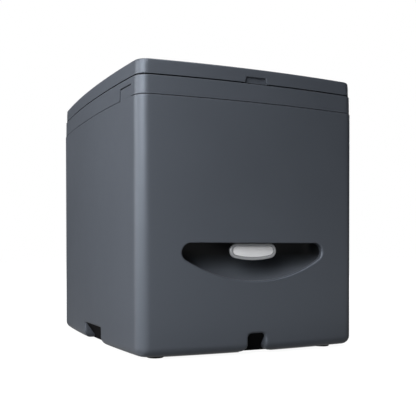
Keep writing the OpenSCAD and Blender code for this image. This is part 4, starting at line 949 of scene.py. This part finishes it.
lid = build_lid()
hinge_cut(lid, spans_at(LID_HINGE_X, OUTER_SPANS, LID_AXIS_Z))
knuckles("lid_knuckle", LID_HINGE_X, LID_AXIS_Z, MID_SPAN, "lid")

# ---------- Recess pan and handle ----------

PAN_MIDDLE_Z, PAN_LOW_POWER, PAN_END_POWER = 150.0, 2.2, 8.0


def build_recess_pan():
    """The scoop behind the opening: its outline, raised at the top, carried back into a smooth bowl.

    With t from 0 to 90 degrees the outline shrinks towards its middle as cos(t)**(2/n), and its depth
    grows as sin(t)**(2/n): a superellipse whose power n is low at the bottom and high at the ends and top.
    """
    bottom = np.linspace(-1, 1, 61)
    # the lower half of an end of the opening, as a share of the whole end
    end = np.linspace(0, -SMILE.turn / (math.pi / 2 - SMILE.turn), 10)[1:]

    def outline(g):
        low, up = np.split(SMILE.points(bottom, end, np.array([]), g)[:70], [61])
        x, z, r = SMILE_A + g, SHAFT_Z + PAN_UP + g, PAN_CORNER_R
        angle = np.linspace(0, math.pi / 2, 10)
        corner = np.stack([x - r + r * np.cos(angle), z - r + r * np.sin(angle)], -1)
        wall = np.stack([np.full(5, x), np.linspace(SMILE.cz, z - r, 7)[1:-1]], -1)
        right = np.concatenate([up, wall, corner])
        top = np.stack([np.linspace(x - r, r - x, 26)[1:-1], np.full(24, z)], -1)
        return np.concatenate([low, right, top, (right * [-1, 1])[::-1]])

    edge = outline(PAN_T + 0.6)
    middle, back = np.array([0.0, PAN_MIDDLE_Z]), FACE_Y + PAN_D
    start = on_front(edge, WALL + PAN_GAP)[:, 1]
    down = np.clip((PAN_MIDDLE_Z - edge[:, 1]) / (PAN_MIDDLE_Z - edge[:, 1].min()), 0, 1)
    power = PAN_END_POWER + (PAN_LOW_POWER - PAN_END_POWER) * down**0.5
    rows = [on_front(outline(PAN_FLANGE), WALL + PAN_GAP)]
    for t in np.radians(np.linspace(0, 90, 31)):
        out, deep = math.cos(t) ** (2 / power), math.sin(t) ** (2 / power)
        flat = middle + (edge - middle) * out[:, None]
        rows.append(np.column_stack([flat[:, 0], start + (back - start) * deep, flat[:, 1]]))
    pan = add_skin("recess_scoop", rows, scoop_plastic_painted_shade, "base", ["recess_pan"])
    wall = pan.modifiers.new("wall", "SOLIDIFY")
    wall.thickness, wall.offset = PAN_T * 0.001, -1.0


KNOB_MIDDLE = np.array([0.0, (KNOB.top + KNOB.low) / 2])
KNOB_SAMPLES = (np.linspace(-1, 1, 49), np.linspace(0, 1, 20)[1:-1], np.linspace(1, -1, 41))


def knob_ring(g, y, share=1.0):
    """The handle's outline moved in by g and drawn in towards its middle by share, at depth y."""
    flat = KNOB_MIDDLE + (KNOB.points(*KNOB_SAMPLES, -g) - KNOB_MIDDLE) * share
    return np.column_stack([flat[:, 0], np.full(len(flat), y), flat[:, 1]])


def build_handle():
    """The bowed crank handle: a section carried round, with a rounded front rim and a seat for the plate."""
    y, seat = FACE_Y + KNOB_IN, KNOB_RIM + 0.3
    rim = [(seat, 2.0), (KNOB_RIM, 1.7), (KNOB_RIM, 0.5), (KNOB_RIM - 0.15, 0.15), (KNOB_RIM - 0.5, 0.0),
           (2.0, 0.0)]
    rim += round_over(KNOB_FRONT_R, 8)
    rim += [(aside, KNOB_T - down) for down, aside in round_over(KNOB_REAR_R, 8)]
    rings = [knob_ring(seat, y + 2, share) for share in (0.0, 0.5)]
    rings += [knob_ring(g, y + d) for g, d in rim]
    rings += [knob_ring(5.0, y + KNOB_T, share) for share in (1.0, 0.5, 0.0)]
    add_skin("bowed_handle", rings, handle_paint, "crank", ["crank_handle"], flip=True)
    neck = turned([(0.0, 9.0), (7.0, 9.0), (7.7, 8.7), (8.0, 8.0), (8.0, 7.05)], 1, (0, y + KNOB_T, SHAFT_Z))
    add_skin("handle_neck", neck, handle_paint, "crank", ())


def build_plate():
    """The bare plate set into the handle: the handle's outline moved in, with a fine rounded edge."""
    y, inset, edge_r = FACE_Y + KNOB_IN + 0.9, KNOB_RIM + 0.6, 0.4
    rings = [knob_ring(inset + edge_r, y, share) for share in (0.0, 0.5)]
    rings += [knob_ring(inset + aside, y + back) for aside, back in round_over(edge_r, 5)]
    rings += [knob_ring(inset, y + 1.15, share) for share in (1.0, 0.0)]
    add_skin("handle_face_plate", rings, plate_satin, "crank", ["handle_plate"], flip=True)


build_recess_pan()
build_handle()
build_plate()

# ---------- Seat ----------


def build_seat():
    """The seat ring: a section of soft curves, from the underside out, over the top and down the hole."""
    z = DECK_Z + 0.3
    t = np.linspace(0, 2 * math.pi, 145)[:-1]
    outer = lambda inx, iny, up: level(oval_at(t, SEAT_A - inx, SEAT_B - iny, SEAT_N), z + up)
    hole = lambda out, up: level(oval_at(t, HOLE_A + out, HOLE_B + out, BOWL_N), z + up)
    rows = [hole(1.5, 0)]
    rows += [outer(*p) for p in (
        (3, 3, 0), (1.2, 1.2, 0.3), (0.3, 0.3, 1), (0, 0, 2), (0, 0, 7.5), (0.4, 0.4, 9.2), (1.4, 1.4, 10.6),
        (3, 3, 11.5), (5.5, 5.5, 12.1), (9, 9, 12.5), (14, 13, 12.8), (20, 18, 12.95))]
    rows += [outer(28, 24, SEAT_T) * (1 - s) + hole(15, SEAT_T) * s for s in (0, 0.5, 1)]
    rows += [hole(*p) for p in ((12, 12.8), (9, 12.3), (6, 11.4), (3.6, 10.1), (1.6, 8.4), (0.5, 6.6), (0, 5),
                                (0, 1.5), (0.4, 0.5))]
    add_skin("seat", rows, slate_shell, "frame", ["seat_ring"], close_rows=True)


build_seat()

# ---------- CAD nodes that are dressed ----------

DRESSED_SHARP = 30      # degrees over which an edge of a dressed node stays sharp


def merged_copy(node):
    """A new object with a copy of a CAD node's mesh, its loose triangles merged and its flat faces joined."""
    mesh = frame["nodes"][node].data.copy()
    mesh.materials.clear()
    rework(mesh, merge=1e-6, flat=0.6)
    return add_object(node + "_piece", mesh)


def dress(node, material, edge):
    """A merged copy of a CAD node, with smooth faces and softly rounded edges, in the node's place."""
    piece = merged_copy(node)
    rework(piece.data, sharp=DRESSED_SHARP)
    piece.data.materials.append(material)
    if edge:
        soften(piece, edge, DRESSED_SHARP)
    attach(piece, frame["nodes"][node]["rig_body"])
    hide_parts(node)
    return piece


def set_back(piece, depth):
    """Moves the part of a piece that lies in the body's side face inwards by depth."""
    points = np.empty(len(piece.data.vertices) * 3)
    piece.data.vertices.foreach_get("co", points)
    points = points.reshape(-1, 3) * 1000
    skin = BODY_W / 2 - SIDE_ARC + np.sqrt(SIDE_ARC**2 - (points[:, 1] - BODY_Y) ** 2)
    points[:, 0] -= np.sign(points[:, 0]) * depth * (np.abs(points[:, 0]) > skin - 1.0)
    piece.data.vertices.foreach_set("co", (points * 0.001).ravel())


def build_bottle():
    """The bottle in one piece: its four solids united where they meet."""
    nodes = ("bottle_front", "bottle_rear", "bottle_shoulder", "bottle_neck")
    bottle = merged_copy(nodes[0])
    bottle.name = "saddle_bottle"
    for node in nodes[1:]:
        combine(bottle, merged_copy(node), "UNION")
    rework(bottle.data, sharp=DRESSED_SHARP)
    bottle.data.materials.append(milky_bottle)
    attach(bottle, frame["nodes"][nodes[0]]["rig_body"])
    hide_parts(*nodes)


build_bottle()
for node, material, edge in (
    ("bin_cradles", slate_shell, 0.4), ("pan_screws", steel, 0.2),
    ("dc_inlet", black_plastic, 0.3), ("rod_bush", bearing_plastic, 0.3), ("pull_rod", steel, 0.3),
    ("solids_bin", dark_bin, 0.6), ("front_bush", bearing_plastic, 0.3), ("rear_bush", bearing_plastic, 0.3),
    ("agitator_shaft", steel, 0.3), ("stirrer_arms", steel, 0.0),
    ("vent_port", black_plastic, 0.3), ("fan_housing", black_plastic, 0.3), ("fan_rotor", black_plastic, 0.1),
    ("filter_holder", dark_bin, 0.3), ("carbon_filter", foam, 0.0), ("fan_screws", steel, 0.2),
    ("frame_gasket", soft_rubber, 0.3), ("frame_hinge_pins", steel, 0.3), ("diverter_bowl", white_bowl, 0.0),
    ("latch_left", slate_shell, 0.3), ("latch_right", slate_shell, 0.3), ("latch_pins", steel, 0.2),
    ("lid_liner", dark_pan, 0.3), ("lid_gasket", soft_rubber, 0.3), ("liner_screws", steel, 0.2),
    ("lid_hinge_pins", steel, 0.3),
):
    piece = dress(node, material, edge)
    if node in ("latch_left", "latch_right"):
        set_back(piece, BAND_IN + 0.3)

# ---------- Studio ----------


FAR_GLOSS, NEAR_FLOOR_GLOSS, FRONT_FLOOR_GLOSS, LEFT_FRONT_GLOSS = 0.03, 0.35, 0.9, 1.0
PHOTO_PX, FOCAL_PX, SHIFT_PX, SENSOR_MM = 416, 666.36133, (25, -0.2), 36.0
CAMERA_PLACE, CAMERA_TILT, CAMERA_TURN = (-0.48779, -1.04747, 0.1525), 3.47597, 23.92837
LEFT_FRONT, NEAR_CORNER = (-0.94, -0.342, 0.0), (-0.17, -0.19, 0.0)
# the painted shadow under the object, where the floor's glow is cut: half width, bow, and each dent's middle
# and half width
SIDE_PATCH, FRONT_PATCH = (0.148, 0.24, 0.025, 0.055), (0.164, 0.33, 0.016, 0.022)
DENT_D, DENT_FADE, PATCH_R, PATCH_FADE = 0.018, 0.005, 0.012, 0.006


def aim(thing, target):
    """Turns a lamp towards a point."""
    x, y, z = np.array(target, float) - np.array(thing.location)
    thing.rotation_euler = (math.pi / 2 - math.atan2(-z, math.hypot(x, y)), 0, math.atan2(y, x) - math.pi / 2)


def add_lamp(name, place, target, width, height, power):
    """A soft rectangular lamp."""
    lamp = bpy.data.lights.new(name, "AREA")
    lamp.shape, lamp.size, lamp.size_y, lamp.energy, lamp.color = "RECTANGLE", width, height, power, (1, 1, 1)
    thing = add_object(name, lamp)
    thing.location = place
    aim(thing, target)


def seen_directly(tree, gloss):
    """How white the background is to a ray: 1 from the camera or through glass, gloss off gloss."""
    path = tree.nodes.new("ShaderNodeLightPath")
    clear = larger(tree, path.outputs["Is Camera Ray"], path.outputs["Is Transmission Ray"])
    return larger(tree, clear, times(tree, path.outputs["Is Glossy Ray"], gloss))


def left_front(tree, direction):
    """1 towards the left and front, where the studio is white also to gloss, and 0 elsewhere."""
    along = vector_node(tree, "DOT_PRODUCT", direction, LEFT_FRONT).outputs["Value"]
    return ramp(tree, along, 0.35, 0.5)


def past_side(tree, across, along, half, bow, dent_at, dent_half):
    """How far outside a bowed side with a dent a point of the floor is, and 0 inside."""
    away = plus(tree, math_node(tree, "ABSOLUTE", across), times(tree, times(tree, along, along), bow))
    dent = math_node(tree, "ABSOLUTE", minus(tree, along, dent_at))
    away = plus(tree, away, ramp(tree, dent, dent_half, dent_half + DENT_FADE, DENT_D, 0.0))
    return larger(tree, minus(tree, away, half), 0.0)


def build_camera():
    """The camera fitted to the photograph."""
    camera = bpy.data.cameras.new("camera")
    camera.sensor_width = SENSOR_MM
    camera.lens = FOCAL_PX / PHOTO_PX * SENSOR_MM
    camera.shift_x, camera.shift_y = (shift / PHOTO_PX for shift in SHIFT_PX)
    holder = add_object("camera", camera)
    holder.location = CAMERA_PLACE
    holder.rotation_euler = (math.pi / 2 + math.radians(CAMERA_TILT), 0, -math.radians(CAMERA_TURN))
    bpy.context.scene.camera = holder


def build_world():
    """A world that is white to the camera, and dim to light and to most of the gloss."""
    world = bpy.data.worlds.new("studio")
    bpy.context.scene.world = world
    world.use_nodes = True
    tree = world.node_tree
    tree.nodes.clear()
    white, dim = tree.nodes.new("ShaderNodeBackground"), tree.nodes.new("ShaderNodeBackground")
    white.inputs["Color"].default_value = (1, 1, 1, 1)
    dim.inputs["Color"].default_value = (0.86, 0.92, 1.0, 1)
    dim.inputs["Strength"].default_value = 0.06
    mix, out = tree.nodes.new("ShaderNodeMixShader"), tree.nodes.new("ShaderNodeOutputWorld")
    sector = left_front(tree, tree.nodes.new("ShaderNodeTexCoord").outputs["Generated"])
    gloss = larger(tree, times(tree, sector, LEFT_FRONT_GLOSS), FAR_GLOSS)
    tree.links.new(seen_directly(tree, gloss), mix.inputs["Fac"])
    tree.links.new(dim.outputs[0], mix.inputs[1])
    tree.links.new(white.outputs[0], mix.inputs[2])
    tree.links.new(mix.outputs[0], out.inputs["Surface"])


def build_floor():
    """A pale floor that takes shadows and glows, but not under the object, where no light reaches it; the
    glow cut there is a painted shadow.
    """
    mesh = bpy.data.meshes.new("floor")
    mesh.from_pydata([(-6, -6, 0), (6, -6, 0), (6, 6, 0), (-6, 6, 0)], [], [(0, 1, 2, 3)])
    floor = add_object("floor", mesh)
    material, tree, shader = new_material("pale floor", 0.9, Specular_IOR_Level=0.0)
    where = on_object(tree)
    pale = mixed_color(tree, noise(tree, where, 3.0), (0.095, 0.095, 0.095), (0.105, 0.105, 0.105))
    tree.links.new(pale, shader.inputs["Base Color"])
    apart = tree.nodes.new("ShaderNodeSeparateXYZ")
    tree.links.new(where, apart.inputs[0])
    x, y = apart.outputs["X"], plus(tree, apart.outputs["Y"], -BODY_Y * 0.001)
    side, front = past_side(tree, x, y, *SIDE_PATCH), past_side(tree, y, x, *FRONT_PATCH)
    past = math_node(tree, "SQRT", plus(tree, times(tree, side, side), times(tree, front, front)))
    past = minus(tree, past, PATCH_R)
    away = vector_node(tree, "SUBTRACT", where, NEAR_CORNER).outputs["Vector"]
    direction = vector_node(tree, "NORMALIZE", away).outputs["Vector"]
    sector = times(tree, left_front(tree, direction), LEFT_FRONT_GLOSS)
    sector = larger(tree, sector, ramp(tree, y, -0.4, -0.22, FRONT_FLOOR_GLOSS, 0.0))
    near = ramp(tree, past, 0.02, 0.1, NEAR_FLOOR_GLOSS, FAR_GLOSS)
    strength = seen_directly(tree, larger(tree, near, sector))
    strength = times(tree, strength, ramp(tree, past, 0.2, 1.2, 0.96, 1.03))
    glow, add = tree.nodes.new("ShaderNodeEmission"), tree.nodes.new("ShaderNodeAddShader")
    # the glow fades out over the patch under the object: painted shadow
    tree.links.new(times(tree, strength, ramp(tree, past, -PATCH_FADE, 0.0)), glow.inputs["Strength"])
    tree.links.new(shader.outputs[0], add.inputs[0])
    tree.links.new(glow.outputs[0], add.inputs[1])
    tree.links.new(add.outputs[0], tree.nodes["Material Output"].inputs["Surface"])
    mesh.materials.append(material)


bpy.context.scene.view_settings.view_transform = "Standard"
build_camera()
build_world()
build_floor()
for lamp in (
    ("key from the left", (-2.1, -1.15, 1.0), (0, 0, 0.2), 2.6, 1.6, 55),
    ("near left", (-1.0, -0.9, 0.9), (-0.15, -0.18, 0.2), 0.8, 1.0, 18),
    ("left strip", (-1.9, 0.35, 0.55), (-0.15, -0.1, 0.2), 0.6, 1.1, 16),
    ("rear right", (1.6, 2.1, 1.3), (0, 0, 0.25), 1.8, 1.2, 60),
    ("top", (-0.1, -0.5, 2.4), (0, 0, 0.3), 1.6, 1.6, 40),
):
    add_lamp(*lamp)
